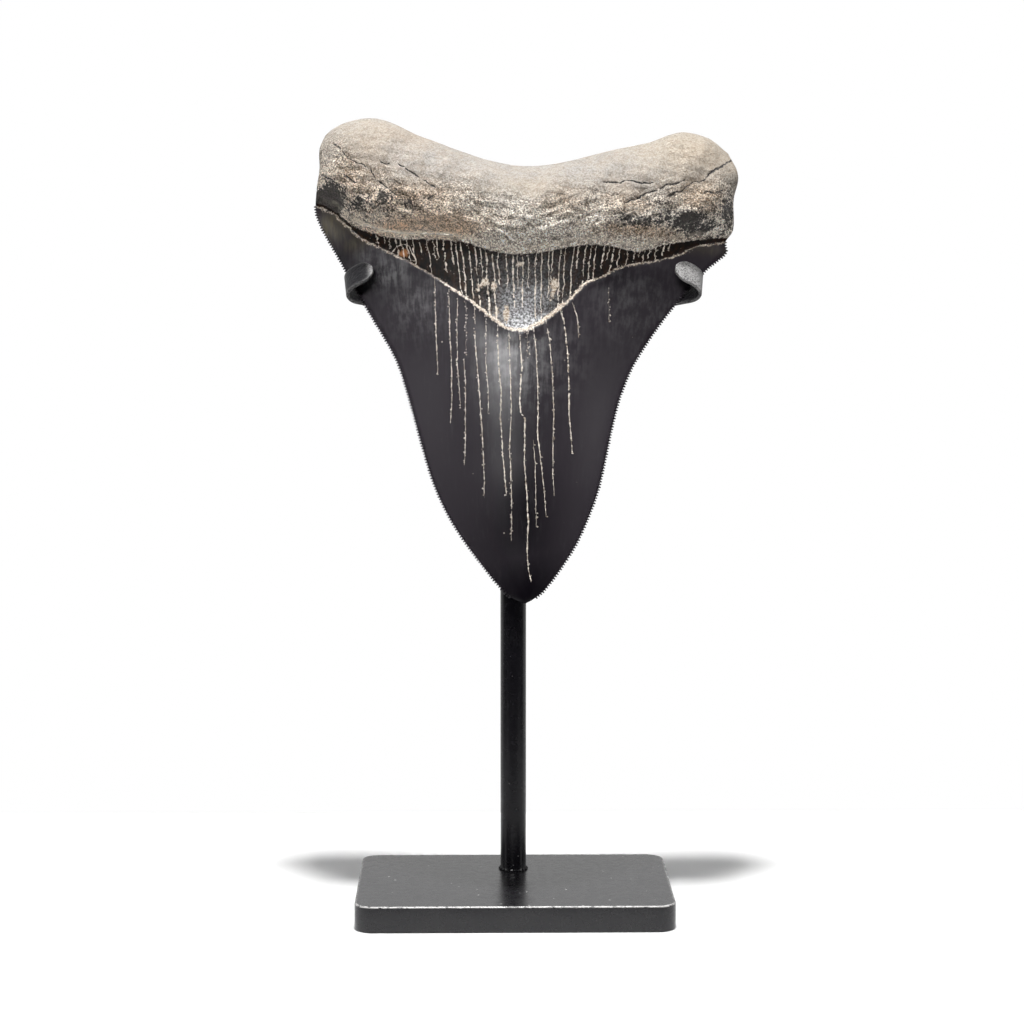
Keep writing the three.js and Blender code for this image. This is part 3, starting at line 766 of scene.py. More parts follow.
class FossilNodes(FinishGraph):
    """The nodes of the fossil's material, which reads the tooth's own attributes."""

    def __init__(self, look: FossilFinish) -> None:
        """Makes the material, and reads the place in the tooth's own frame.

        Args:
            look: the finish.
        """
        super().__init__(look.name)
        self.look = look
        self.own = self.attribute("own", vector=True)

    def build(self) -> bpy.types.Material:
        """Makes the material.

        Returns:
            The material.
        """
        above_enamel = self.attribute("above_enamel")
        above_root = self.attribute("above_root")
        ragged = self.centred(self.noise(self.own, 0.9, 3, 0.6))
        on_root = self.window(self.plus(above_root, self.times(ragged, 0.9)), -0.15, 0.15)
        on_band = self.window(above_enamel, 0.1, 0.4)
        colour = self.mix(on_band, self.crown_colour(), self.band_colour())
        border = self.border_share(above_enamel, ragged)
        colour = self.mix(border, colour, self.chalky())
        colour = self.mix(on_root, colour, self.root_colour())
        rim = self.rim_share(above_root, ragged)
        colour = self.mix(rim, colour, self.look.rim_cream)
        roughness = self.roughness(on_band, on_root)
        gloss = self.gloss(on_band, on_root)
        return self.finish(colour, roughness, self.normal(on_root), gloss)

    def root_grain(self) -> Feed:
        """Gives the root's grain, drawn out into slanting folds where it is coarse.

        Returns:
            A socket from 0 in the pits to 1 on the grains.
        """
        fine = self.noise(self.own, 1.9, 4, 0.72)
        broad = self.times(self.centred(self.noise(self.own, 0.7, 2, 0.5)), 0.35)
        fold_share = self.times(self.attribute("coarse"), 0.40)
        slanted = self.times(self.centred(self.folded()), fold_share)
        return self.window(self.plus(self.plus(fine, broad), slanted), 0.27, 0.73)

    def folded(self) -> Feed:
        """Gives the root's slanting folds, which run down towards the middle on both sides.

        Returns:
            A socket from 0 to 1.
        """
        patterns = []
        for angle in (math.radians(32), math.radians(-22)):
            feeds = {"Vector": self.own, "Rotation": (0.0, 0.0, angle)}
            turned = self.add("ShaderNodeMapping", feeds).outputs[0]
            patterns.append(self.noise(self.stretched(turned, (0.16, 0.95, 0.5)), 1.0, 3, 0.6))
        side = self.window(self.add("ShaderNodeSeparateXYZ", {0: self.own}).outputs["X"], -8, 8)
        left = self.times(patterns[0], self.minus(1.0, side))
        return self.plus(left, self.times(patterns[1], side))

    def open_cracks(self) -> Feed:
        """Gives the root's thin dark cracks, and short hairline wrinkles beside them.

        Returns:
            A socket that is 1 in a crack.
        """
        wobble = self.times(self.centred(self.noise(self.own, 1.6, 3, 0.7)), 0.9)
        gap = self.math("ABSOLUTE", self.plus(self.attribute("crack_gap"), wobble))
        broken = self.window(self.noise(self.own, 0.8, 2, 0.5), 0.33, 0.47)
        strong = self.window(self.attribute("crack"), 0.25, 0.6)
        cracks = self.times(self.times(self.window(gap, 0.25, 0.07), broken), strong)
        level = self.math("ABSOLUTE", self.minus(self.folded(), 0.44))
        rare = self.window(self.noise(self.own, 0.22, 2, 0.5), 0.50, 0.60)
        lower = self.window(self.attribute("coarse"), 0.12, 0.6, 0.15, 0.8)
        wrinkles = self.times(self.times(self.window(level, 0.013, 0.003), rare), lower)
        return self.larger(cracks, wrinkles)

    def root_top(self, grain: Feed, broad: Feed) -> Feed:
        """Gives the colour of the root's smooth upper part.

        Args:
            grain: the root's grain.
            broad: the root's broad mottling.
        Returns:
            The colour.
        """
        colour = self.mix(self.window(broad, 0.35, 0.65), self.look.top_pale, self.look.top_grey)
        colour = self.mix(self.attribute("cream"), colour, self.look.top_cream)
        colour = self.mix(self.times(self.attribute("brown"), 0.7), colour, self.look.top_brown)
        shade = self.mix(self.window(grain, 0.2, 0.6), self.look.top_shade, WHITE)
        return self.mix(1.0, colour, shade, "MULTIPLY")

    def root_darkness(self, grain: Feed, broad: Feed) -> Feed:
        """Gives how black the root is: painted shade in the pits of its coarse part and where its grain is low,
        and its dark areas.

        Args:
            grain: the root's grain.
            broad: the root's broad mottling.
        Returns:
            A socket from 0 to 1.
        """
        dark = self.attribute("dark")
        # Painted shade: black in the pits between the grains of the coarse root
        pits = self.times(self.window(grain, 0.30, 0.10), self.window(self.attribute("coarse"), 0.1, 0.7))
        pits = self.times(pits, self.window(dark, 0.0, 0.5, 0.40, 1.0))
        wander = self.times(self.minus(broad, 0.2), 1.1)
        areas = self.plus(self.plus(self.times(dark, 1.2), wander), self.times(grain, -1.1))
        return self.larger(pits, self.window(areas, 0.35, 0.75))

    def root_colour(self) -> Feed:
        """Gives the root's colour: pale above; lower down brown, with painted highlights on its grains, painted
        shade between them and painted glints.

        Returns:
            The colour.
        """
        grain = self.root_grain()
        broad = self.noise(self.own, 0.30, 3, 0.6)
        coarse = self.attribute("coarse")
        brown = self.attribute("brown")
        ground = self.mix(brown, self.look.ground_grey, self.look.ground_brown)
        # The grains' crests take colours that are partly painted highlights
        grains = self.mix(self.times(brown, 0.8), self.look.grain_pale_highlight, self.look.grain_warm_highlight)
        low = self.mix(self.window(grain, 0.30, 0.68), ground, grains)
        # Painted light: the lower root's colours are lighter than the top's, where less light falls
        colour = self.mix(self.window(coarse, 0.04, 0.90), self.root_top(grain, broad), low)
        darkness = self.times(self.root_darkness(grain, broad), 0.94)
        colour = self.mix(darkness, colour, self.look.root_dark)
        rusty = self.times(self.attribute("rust"), self.window(grain, 0.2, 0.7, 0.30, 0.95))
        colour = self.mix(rusty, colour, self.look.root_rust)
        # Painted glints: small specks make the root's colour brighter and darker
        painted_glints = self.window(self.noise(self.own, 2.7, 2, 0.65), 0.34, 0.66, 0.0, 1.3)
        painted_glints = self.times(self.minus(painted_glints, 0.6), self.window(coarse, 0.0, 0.7, 0.2, 1.0))
        colour = self.scaled(colour, self.plus(painted_glints, 1.0))
        return self.mix(self.open_cracks(), colour, self.look.root_dark)

    def band_colour(self) -> Feed:
        """Gives the dental band's colour: near black, brown at the upper left, dusted with grey low down,
        partly a painted sheen.

        Returns:
            The colour.
        """
        mottle = self.noise(self.stretched(self.own, (1.4, 0.5, 1.0)), 0.8, 3, 0.6)
        colour = self.mix(self.window(mottle, 0.4, 0.7), self.look.band, self.look.band_brown)
        rusty = self.plus(self.attribute("rust"), self.times(self.centred(mottle), 0.8))
        colour = self.mix(self.window(rusty, 0.35, 0.7), colour, self.look.rust)
        # Grey dust, partly a painted sheen
        dust_and_sheen = self.window(self.noise(self.own, 1.9, 3, 0.7), 0.40, 0.66, 0.15, 1.0)
        colour = self.mix(self.times(dust_and_sheen, self.attribute("dust_and_sheen")), colour, self.look.pearl_and_sheen)
        colour = self.mix(self.times(self.flecks(self.own, 1.5, 0.24), 0.5), colour, self.look.cream)
        crust = self.plus(self.attribute("crust"), self.noise(self.own, 1.6, 3, 0.7))
        colour = self.mix(self.window(crust, 0.85, 1.05), colour, self.chalky())
        return self.mix(self.window(self.attribute("hole"), 0.35, 0.6), colour, self.look.band)

    def crown_colour(self) -> Feed:
        """Gives the enamel's colour: near black, with a painted dark reflection down its middle, pale streaks
        along its length, a painted sheen in its upper middle and an olive corner.

        Returns:
            The colour.
        """
        streaks = self.noise(self.stretched(self.own, (1.0, 0.055, 1.0)), 1.25, 4, 0.65)
        broad = self.noise(self.stretched(self.own, (1.0, 0.2, 1.0)), 0.16, 2, 0.5)
        smudge = self.times(self.plus(streaks, self.noise(self.own, 0.35, 4, 0.65)), 0.5)
        # Pale streaks, and the painted sheen in the crown's upper middle
        bloom_and_sheen = self.times(self.attribute("bloom_and_sheen"), self.window(smudge, 0.42, 0.62))
        faint = self.times(self.window(streaks, 0.5, 0.75), self.window(broad, 0.4, 0.7, 0.02, 0.10))
        # Painted dark reflection down the crown's middle, and darker enamel near the border
        ground = self.mix(self.attribute("deep_and_dark_reflection"), self.look.enamel, self.look.enamel_deep_and_dark_reflection)
        colour = self.mix(self.larger(bloom_and_sheen, faint), ground, self.look.enamel_bloom_and_sheen)
        olive = self.times(self.attribute("olive"), self.window(streaks, 0.35, 0.65, 0.35, 1.0))
        colour = self.mix(olive, colour, self.look.enamel_olive)
        return self.mix(self.times(self.flecks(self.own, 0.42, 0.13), 0.7), colour, self.look.cream)

    def chalky(self) -> Feed:
        """Gives the cream mineral's colour, uneven and stained."""
        stain = self.window(self.noise(self.own, 2.2, 3, 0.65), 0.36, 0.62)
        return self.mix(stain, self.look.stain, self.look.cream)

    def border_share(self, above_enamel: Feed, ragged: Feed) -> Feed:
        """Gives where the cream border of the enamel lies, thickest at the bottom of the chevron.

        Args:
            above_enamel: the distance above the border.
            ragged: how far the border strays from its line.
        Returns:
            A socket that is 1 on the border.
        """
        fine = self.times(self.centred(self.noise(self.own, 2.6, 3, 0.7)), 1.1)
        jagged = self.plus(self.times(ragged, 1.7), fine)
        distance = self.math("ABSOLUTE", self.plus(above_enamel, jagged))
        varied = self.window(self.noise(self.own, 0.55, 2, 0.5), 0.35, 0.65, 0.6, 1.35)
        width = self.times(self.window(self.attribute("heavy"), 0, 1, 0.17, self.look.border_width), varied)
        inside = self.window(self.minus(width, distance), -0.10, 0.12)
        return self.times(inside, self.window(self.noise(self.own, 0.8, 3, 0.7), 0.34, 0.50, 0.35, 1.0))

    def rim_share(self, above_root: Feed, ragged: Feed) -> Feed:
        """Gives where the cream edge of the root's lower rim lies, broken and uneven.

        Args:
            above_root: the distance above the root's lower line.
            ragged: how far the rim strays from its line.
        Returns:
            A socket that is 1 on the rim.
        """
        shifted = self.plus(above_root, self.times(ragged, 1.2))
        distance = self.math("ABSOLUTE", self.minus(shifted, RIM_LIFT))
        inside = self.window(self.minus(self.look.rim_width, distance), -0.15, 0.15)
        broken = self.window(self.noise(self.own, 0.55, 3, 0.7), 0.36, 0.56, 0.25, 0.95)
        return self.times(self.times(inside, broken), self.attribute("rim"))

    def roughness(self, on_band: Feed, on_root: Feed) -> Feed:
        """Gives how dull each zone is: satin enamel, duller band and root.

        Args:
            on_band: 1 on the band and above it.
            on_root: 1 on the root.
        Returns:
            The roughness.
        """
        streaks = self.noise(self.stretched(self.own, (1, 0.12, 1)), 0.9, 3, 0.6)
        satin = self.window(streaks, 0.3, 0.7, 0.34, 0.37)
        band = self.times(on_band, self.look.band_roughness)
        return self.larger(satin, self.larger(band, self.times(on_root, self.look.root_roughness)))

    def gloss(self, on_band: Feed, on_root: Feed) -> Feed:
        """Gives how strong the gloss is: weak on the band, in the deep black with its painted dark reflection,
        and at the cutting edges.

        Args:
            on_band: 1 on the band and above it.
            on_root: 1 on the root.
        Returns:
            The shader's specular level.
        """
        zones = self.window(on_band, 0, 1, self.look.enamel_gloss, self.look.band_gloss)
        zones = self.larger(zones, self.times(on_root, self.look.root_gloss))
        dulled = self.larger(self.times(self.attribute("deep_and_dark_reflection"), 0.8), self.attribute("keen"))
        return self.times(zones, self.minus(1.0, dulled))

    def normal(self, on_root: Feed) -> Feed:
        """Gives the bumps of the root: its grain and its cracks.

        Args:
            on_root: 1 on the root.
        Returns:
            The normal.
        """
        depth = self.window(self.attribute("coarse"), 0, 1, 0.20, 1.0)
        grain = self.times(self.root_grain(), depth)
        opened = self.times(self.open_cracks(), 0.6)
        return self.bump(self.times(self.minus(grain, opened), on_root), self.look.root_bump * MM)


@dataclass(frozen=True)
class MineralFinish:
    """The cream mineral that fills the cracks of the enamel and the band."""

    name: str = "cream_mineral"
    cream: Colour = (0.68, 0.62, 0.54, 1)
    stained: Colour = (0.24, 0.19, 0.145, 1)

    def build(self) -> bpy.types.Material:
        """Makes the material."""
        graph = FinishGraph(self.name)
        place = graph.in_millimetres()
        stain = graph.window(graph.noise(place, 1.1, 3, 0.7), 0.34, 0.58)
        colour = graph.mix(stain, self.stained, self.cream)
        return graph.finish(colour, 0.7, graph.bump(graph.noise(place, 4.0, 2), 0.08 * MM), specular=0.4)


@dataclass(frozen=True)
class BlackSteelFinish:
    """Satin black patina on steel: how rough it is, how deep its hammered dents, and the wearing of its edges,
    with painted highlights.
    """

    name: str
    roughness: float = 0.36
    dent_size: float = 2.2
    dent_depth: float = 0.05
    fine_depth: float = 0.018
    gloss: float = 0.5
    scratch_share: float = 0.35
    fleck_share: float = 0.8
    wear_grain: float = 0.9
    colour: Colour = (0.0055, 0.0050, 0.0070, 1)
    dusty: Colour = (0.011, 0.0105, 0.012, 1)
    worn_and_highlight: Colour = (0.56, 0.55, 0.54, 1)
    scratched: Colour = (0.055, 0.053, 0.052, 1)

    def build(self) -> bpy.types.Material:
        """Makes the material, which reads the piece's own attribute for wearing and painted highlights.

        Returns:
            The material.
        """
        graph = FinishGraph(self.name)
        place = graph.in_millimetres()
        cloud = graph.noise(place, 0.12, 4, 0.6)
        fine = graph.noise(place, 2.4, 3, 0.7)
        colour = graph.mix(graph.window(cloud, 0.3, 0.75), self.colour, self.dusty)
        scratches = graph.noise(graph.stretched(place, (0.06, 0.9, 0.9)), 3.2, 3, 0.7)
        scratch_share = graph.window(scratches, 0.62, 0.80, 0.0, self.scratch_share)
        colour = graph.mix(scratch_share, colour, self.scratched)
        flecks = graph.times(graph.flecks(place, 0.62, 0.17), self.fleck_share)
        colour = graph.mix(flecks, colour, self.worn_and_highlight)
        broken = graph.window(graph.noise(place, self.wear_grain, 4, 0.75), 0.34, 0.56)
        # Places with wearing and painted highlights take the pale colour
        wear_and_highlight = graph.times(graph.attribute("wear_and_highlight"), broken)
        colour = graph.mix(wear_and_highlight, colour, self.worn_and_highlight)
        smears = graph.noise(place, 0.5, 3, 0.6)
        dull = graph.window(smears, 0.3, 0.7, self.roughness - 0.02, self.roughness + 0.03)
        dents = graph.bump(graph.noise(place, 1 / self.dent_size, 3, 0.55), self.dent_depth * MM)
        normal = graph.bump(fine, self.fine_depth * MM, dents)
        return graph.finish(colour, dull, normal, specular=self.gloss)


BASE_STEEL = BlackSteelFinish("base_steel", roughness=0.27, dent_depth=0.005, fine_depth=0.003)
POST_STEEL = BlackSteelFinish(
    "post_steel", roughness=0.25, gloss=0.24, dent_depth=0.004, fine_depth=0.003,
    scratch_share=0.1, fleck_share=0.15, dusty=(0.007, 0.0065, 0.008, 1),
)
BRACKET_STEEL = BlackSteelFinish(
    "bracket_steel", gloss=0.24, dent_size=0.55, dent_depth=0.26, fine_depth=0.08,
    wear_grain=2.4, dusty=(0.006, 0.0055, 0.007, 1),
)


@dataclass(frozen=True)
class PaperFinish:
    """The pale paper floor."""

    name: str = "white_paper"
    colour: Colour = (0.85, 0.85, 0.85, 1)
    fibre: Colour = (0.84, 0.84, 0.84, 1)

    def build(self) -> bpy.types.Material:
        """Makes the material."""
        graph = FinishGraph(self.name)
        fibres = graph.noise(graph.in_millimetres(), 0.8, 2)
        shade = graph.mix(graph.window(fibres, 0.3, 0.7), self.colour, self.fibre)
        return graph.finish(shade, 0.9, graph.bump(fibres, 0.01 * MM), specular=0.1)


class ShapeGraph(NodeGraph):
    """A Geometry Nodes tree with named inputs, which ends in Realize Instances and Set Material."""

    def __init__(self, name: str) -> None:
        """Makes the tree with its geometry input, its output and its material.

        Args:
            name: the tree's name.
        """
        super().__init__(bpy.data.node_groups.new(name, "GeometryNodeTree"))
        self.tree.interface.new_socket("Geometry", in_out="OUTPUT", socket_type="NodeSocketGeometry")
        self.tree.interface.new_socket("Geometry", in_out="INPUT", socket_type="NodeSocketGeometry")
        self.tree.interface.new_socket("Material", in_out="INPUT", socket_type="NodeSocketMaterial")
        self.inputs = self.add("NodeGroupInput")

    def input(self, name: str, kind: str = "Float") -> bpy.types.NodeSocket:
        """Adds a named input, unless the tree has it.

        Args:
            name: the input's name.
            kind: the type of its socket.
        Returns:
            Its socket inside the tree.
        """
        if name not in self.inputs.outputs:
            self.tree.interface.new_socket(name, in_out="INPUT", socket_type=f"NodeSocket{kind}")
        return self.inputs.outputs[name]

    def named(self, name: str, kind: str = "FLOAT") -> bpy.types.NodeSocket:
        """Reads a named attribute."""
        return self.add("GeometryNodeInputNamedAttribute", {"Name": name}, data_type=kind).outputs[0]

    def random(self, low: Feed, high: Feed, seed: Feed) -> bpy.types.NodeSocket:
        """Gives a random number for each element, from a seed."""
        feeds = {2: low, 3: high, "Seed": seed}
        return self.add("FunctionNodeRandomValue", feeds, data_type="FLOAT").outputs[1]

    def end(self, geometry: Feed) -> None:
        """Realizes the instances, sets the material and links the result to the output.

        Args:
            geometry: the finished shape.
        """
        real = self.add("GeometryNodeRealizeInstances", {0: geometry}).outputs[0]
        feeds = {"Geometry": real, "Material": self.inputs.outputs["Material"]}
        self.add("NodeGroupOutput", {0: self.add("GeometryNodeSetMaterial", feeds).outputs[0]})

    def apply(self, piece: bpy.types.Object, values: dict[str, Feed]) -> None:
        """Runs the tree on a piece and turns the result into a plain mesh.

        Args:
            piece: the object that holds the tree's input.
            values: a value for each named input.
        """
        modifier = piece.modifiers.new(self.tree.name, "NODES")
        modifier.node_group = self.tree
        for item in self.tree.interface.items_tree:
            if item.in_out == "INPUT" and item.name in values:
                modifier[item.identifier] = values[item.name]
        make_plain(piece)


def make_piece(name: str, points: np.ndarray, faces: list[tuple[int, ...]],
               edges: list[tuple[int, int]] | None = None) -> bpy.types.Object:
    """Makes a mesh object at the origin.

    Args:
        name: the piece's name.
        points: rows of x, y and z, in millimetres.
        faces: the corners of each face.
        edges: the ends of each loose edge, for a path.
    Returns:
        The object, in the scene.
    """
    mesh = bpy.data.meshes.new(name)
    mesh.from_pydata((np.asarray(points, float) * MM).tolist(), edges or [], faces)
    mesh.update()
    piece = bpy.data.objects.new(name, mesh)
    bpy.context.scene.collection.objects.link(piece)
    return piece


def make_plain(piece: bpy.types.Object) -> None:
    """Turns a piece with its modifiers into a plain mesh.

    Args:
        piece: the piece, which has no modifier afterwards.
    """
    evaluated = piece.evaluated_get(bpy.context.evaluated_depsgraph_get())
    mesh = bpy.data.meshes.new_from_object(evaluated)
    piece.modifiers.clear()
    piece.data = mesh


def lifted(outline: np.ndarray, height: float) -> np.ndarray:
    """Gives a flat outline's points at a height."""
    return np.column_stack([outline, np.full(len(outline), height)])


def grid_faces(rows: int, columns: int, first: int = 0, closed: bool = False) -> list[tuple[int, ...]]:
    """Gives the faces between rows of points that are numbered row by row.

    Args:
        rows: how many rows there are.
        columns: how many points each row has.
        first: the number of the first point.
        closed: whether each row's last point joins its first.
    Returns:
        The corners of each face.
    """
    starts = [first + row * columns for row in range(rows)]
    sides = [(column, (column + 1) % columns) for column in range(columns if closed else columns - 1)]
    return [(low + left, low + right, high + right, high + left)
            for low, high in zip(starts, starts[1:]) for left, right in sides]


def tube_faces(rings: int, sides: int) -> list[tuple[int, ...]]:
    """Gives the faces of a stack of rings, closed at both ends.

    Args:
        rings: how many rings there are.
        sides: how many points each ring has.
    Returns:
        The corners of each face.
    """
    ends = [tuple(range(sides))[::-1], tuple(range((rings - 1) * sides, rings * sides))]
    return grid_faces(rings, sides, closed=True) + ends


def store(piece: bpy.types.Object, name: str, values: np.ndarray, kind: str = "FLOAT") -> None:
    """Writes one attribute of a piece's points.

    Args:
        piece: the piece.
        name: the attribute's name.
        values: a number, a flag or a vector for each point.
        kind: the attribute's type.
    """
    attribute = piece.data.attributes.new(name, kind, "POINT")
    key = "vector" if kind == "FLOAT_VECTOR" else "value"
    attribute.data.foreach_set(key, np.asarray(values, bool if kind == "BOOLEAN" else np.float32).ravel())


def dress(piece: bpy.types.Object, material: bpy.types.Material, smooth: bool = True) -> None:
    """Gives a piece one material and smooth or flat faces.

    Args:
        piece: the piece.
        material: its finish.
        smooth: whether its faces are smooth.
    """
    piece.data.materials.clear()
    piece.data.materials.append(material)
    piece.data.shade_smooth() if smooth else piece.data.shade_flat()


def stand_for(piece: bpy.types.Object, slot: str, *nodes: str) -> None:
    """Ties a finished piece to the root body and hides the nodes that it replaces.

    Args:
        piece: the piece.
        slot: not used.
        nodes: the nodes that it replaces.
    """
    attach(piece, ROOT_BODY)
    if nodes:
        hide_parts(*nodes)
    log.info("%s: %d faces", piece.name, len(piece.data.polygons))


@dataclass
class FossilTooth:
    """The tooth with its serrated cutting edges, and the mineral veins in its cracks."""

    form: ToothForm
    crown_rows: int = 116
    band_rows: int = 14
    root_rows: int = 108
    back_columns: int = 108
    serration_pitch: float = 0.68
    serration_height: float = 0.46
    serration_length: float = 0.20
    hairline_side: float = 35.0
    hairline_spacing: float = 1.45
    hairline_pull: float = 0.6
    hairline_bend: float = 0.21
    hairline_points: int = 9
    hairline_lengths: tuple[float, ...] = (1.0, 1.0, 1.0, 0.7, 0.45)
    hairline_widths: tuple[float, ...] = (0.32, 0.42, 0.52, 0.64)
    vein_step: float = 0.32
    vein_wobble: float = 0.5
    vein_sink: float = 0.30
    vein_end: float = 0.45
    granule: float = 0.20
    granule_share: float = 0.38
    granule_scatter: float = 0.34
    back_tint: float = 0.25

    def build(self) -> list[bpy.types.Object]:
        """Builds the tooth and its veins.

        Returns:
            The two pieces, dressed and tied to the root body.
        """
        tooth = self.body()
        dress(tooth, FossilFinish().build())
        self.add_serrations(tooth, tooth.data.materials[0])
        tooth.data.shade_smooth()
        stand_for(tooth, FOSSIL_SLOT, "tooth")
        veins = self.veins(tooth, MineralFinish().build())
        stand_for(veins, FOSSIL_SLOT)
        return [tooth, veins]

    def rows(self, face: Face, shares: np.ndarray) -> np.ndarray:
        """Gives the height of each row of one face at each share across.

        Args:
            face: the face.
            shares: places across, from 0 at the left to 1 at the right.
        Returns:
            Heights, a row for each row of the surface.
        """
        front = face is Face.FRONT
        enamel = self.along(ENAMEL_LINE if front else BACK_ENAMEL_LINE, shares)
        root = self.along(ROOT_LINE if front else BACK_ROOT_LINE, shares)
        top = self.along(ROOT_TOP, shares)
        crown_steps = np.arange(1, self.crown_rows + 1) / self.crown_rows
        band_steps = 0.5 - 0.5 * np.cos(np.pi * np.arange(1, self.band_rows + 1) / self.band_rows)
        root_steps = 1 - (1 - np.arange(1, self.root_rows + 1) / self.root_rows) ** 1.7
        crown = crown_steps[:, None] * enamel
        band = enamel + band_steps[:, None] * (root - enamel)
        return np.vstack([crown, band, root + root_steps[:, None] * (top - root)])

    def along(self, line: SmoothLine, shares: np.ndarray) -> np.ndarray:
        """Reads a line at shares of its own length."""
        return line(line.places[0] + shares * (line.places[-1] - line.places[0]))

    def grid(self, face: Face, shares: np.ndarray) -> tuple[np.ndarray, np.ndarray, np.ndarray]:
        """Gives the points of one face.

        Args:
            face: the face.
            shares: places across.
        Returns:
            Across, up and front of each point.
        """
        up = self.rows(face, shares)
        left = LEFT_SIDE(up[:, :1])
        across = left + shares * (RIGHT_SIDE(up[:, -1:]) - left)
        if face is Face.FRONT:
            front = self.form.front_height(across, up)
        else:
            front = -self.form.back_height(across, up)
        front[:, [0, -1]] = 0
        front[-1] = 0
        return across, up, front

    def body(self) -> bpy.types.Object:
        """Builds the tooth's closed surface, with the attributes that its finish reads.

        Returns:
            The piece, without its serrations.
        """
        even = np.arange(2 * self.back_columns + 1) / (2 * self.back_columns)
        shares = 0.55 * even + 0.45 * (0.5 - 0.5 * np.cos(np.pi * even))
        front = self.grid(Face.FRONT, shares)
        back = self.grid(Face.BACK, shares[::2])
        columns = len(shares)
        rows = len(front[0])
        inner = slice(1, -1)
        own = [np.concatenate([[0.0], f.ravel(), b[:-1, inner].ravel()]) for f, b in zip(front, back)]
        first_back = 1 + rows * columns
        faces = self.front_faces(rows, columns) + self.back_faces(rows, columns, first_back)
        piece = make_piece("fossil_tooth", self.form.place(*own), faces)
        self.paint(piece, own, first_back, columns)
        return piece

    def front_faces(self, rows: int, columns: int) -> list[tuple[int, ...]]:
        """Gives the faces of the front, from the point up."""
        fan = [(0, 2 + column, 1 + column) for column in range(columns - 1)]
        return fan + grid_faces(rows, columns, first=1)

    def back_faces(self, rows: int, columns: int, first_back: int) -> list[tuple[int, ...]]:
        """Gives the faces of the back, which shares the front's edges and its top line.

        Args:
            rows: how many rows there are.
            columns: how many columns the front has.
            first_back: the number of the back's first own point.
        Returns:
            The corners of each face.
        """
        last = self.back_columns
        own_columns = last - 1

        def corner(row: int, column: int) -> int:
            """Gives a point's number."""
            if column == 0:
                return 1 + row * columns
            if column == last:
                return row * columns + columns
            if row == rows - 1:
                return 1 + row * columns + 2 * column
            return first_back + row * own_columns + column - 1

        faces = [(0, corner(0, column), corner(0, column + 1)) for column in range(last)]
        for row in range(rows - 2):
            for column in range(last):
                low = (corner(row, column + 1), corner(row, column))
                faces.append((*low, corner(row + 1, column), corner(row + 1, column + 1)))
        row = rows - 2
        for column in range(last):
            middle = 2 + (rows - 1) * columns + 2 * column
            low, next_low = corner(row, column), corner(row, column + 1)
            faces.append((next_low, low, middle))
            faces.append((low, corner(row + 1, column), middle))
            faces.append((next_low, middle, corner(row + 1, column + 1)))
        return faces

    def paint(self, piece: bpy.types.Object, own: list[np.ndarray], first_back: int, columns: int) -> None:
        """Writes the attributes that the finish reads.

        Args:
            piece: the tooth.
            own: across, up and front of each point.
            first_back: the number of the back's first own point.
            columns: how many columns the front has.
        """
        across, up, _ = own
        on_back = np.arange(len(across)) >= first_back
        store(piece, "own", np.stack(own, axis=-1), "FLOAT_VECTOR")
        names = ("above_enamel", "above_root", "crack_gap", "crack", "coarse")
        both = (self.zones(across, up, face) for face in Face)
        for name, front, back in zip(names, *both):
            store(piece, name, np.where(on_back, back, front))
        for name, patches in (("dark", DARK_PATCHES), ("brown", BROWN_PATCHES), ("cream", CREAM_PATCHES),
                              ("dust_and_sheen", DUST_AND_SHEEN_PATCHES)):
            store(piece, name, painted(patches, across, up))
        for name, patches in (("rust", RUST_PATCHES), ("bloom_and_sheen", BLOOM_AND_SHEEN_PATCHES), ("olive", OLIVE_PATCHES),
                              ("deep_and_dark_reflection", DEEP_AND_DARK_REFLECTION_PATCHES)):
            store(piece, name, np.where(on_back, self.back_tint, 1) * painted(patches, across, up))
        hole = HOLE.at(across, up)
        store(piece, "hole", np.where(on_back, 0, hole))
        store(piece, "crust", np.where(on_back, 0, painted(CRUST_PATCHES, across, up) * (1 - hole)))
        # The cutting edges are duller, the border is heavy in the middle, the rim is bright at the left
        store(piece, "keen", 0.7 * smoothstep(np.abs(self.form.share(across, up)), 0.955, 0.99))
        store(piece, "heavy", np.exp(-((across / 17) ** 2)))
        bright = 0.3 + 0.7 * smoothstep(across, -42, -38) * (1 - smoothstep(across, -17, -10))
        store(piece, "rim", np.where(on_back, 0.3, bright) * smoothstep(-np.abs(across), -50, -42))
        on_edge = np.zeros(len(across), bool)
        for row in range(1, self.crown_rows):
            on_edge[1 + row * columns] = True
            on_edge[(row + 1) * columns] = True
        store(piece, "cutting_edge", on_edge, "BOOLEAN")

    def zones(self, across: np.ndarray, up: np.ndarray, face: Face) -> tuple[np.ndarray, ...]:
        """Gives the distances above both borders, those to the cracks, and how coarse the root is."""
        form = self.form
        return *form.gaps(across, up, face), *form.cracks(across, up, face), form.coarse(across, up, face)

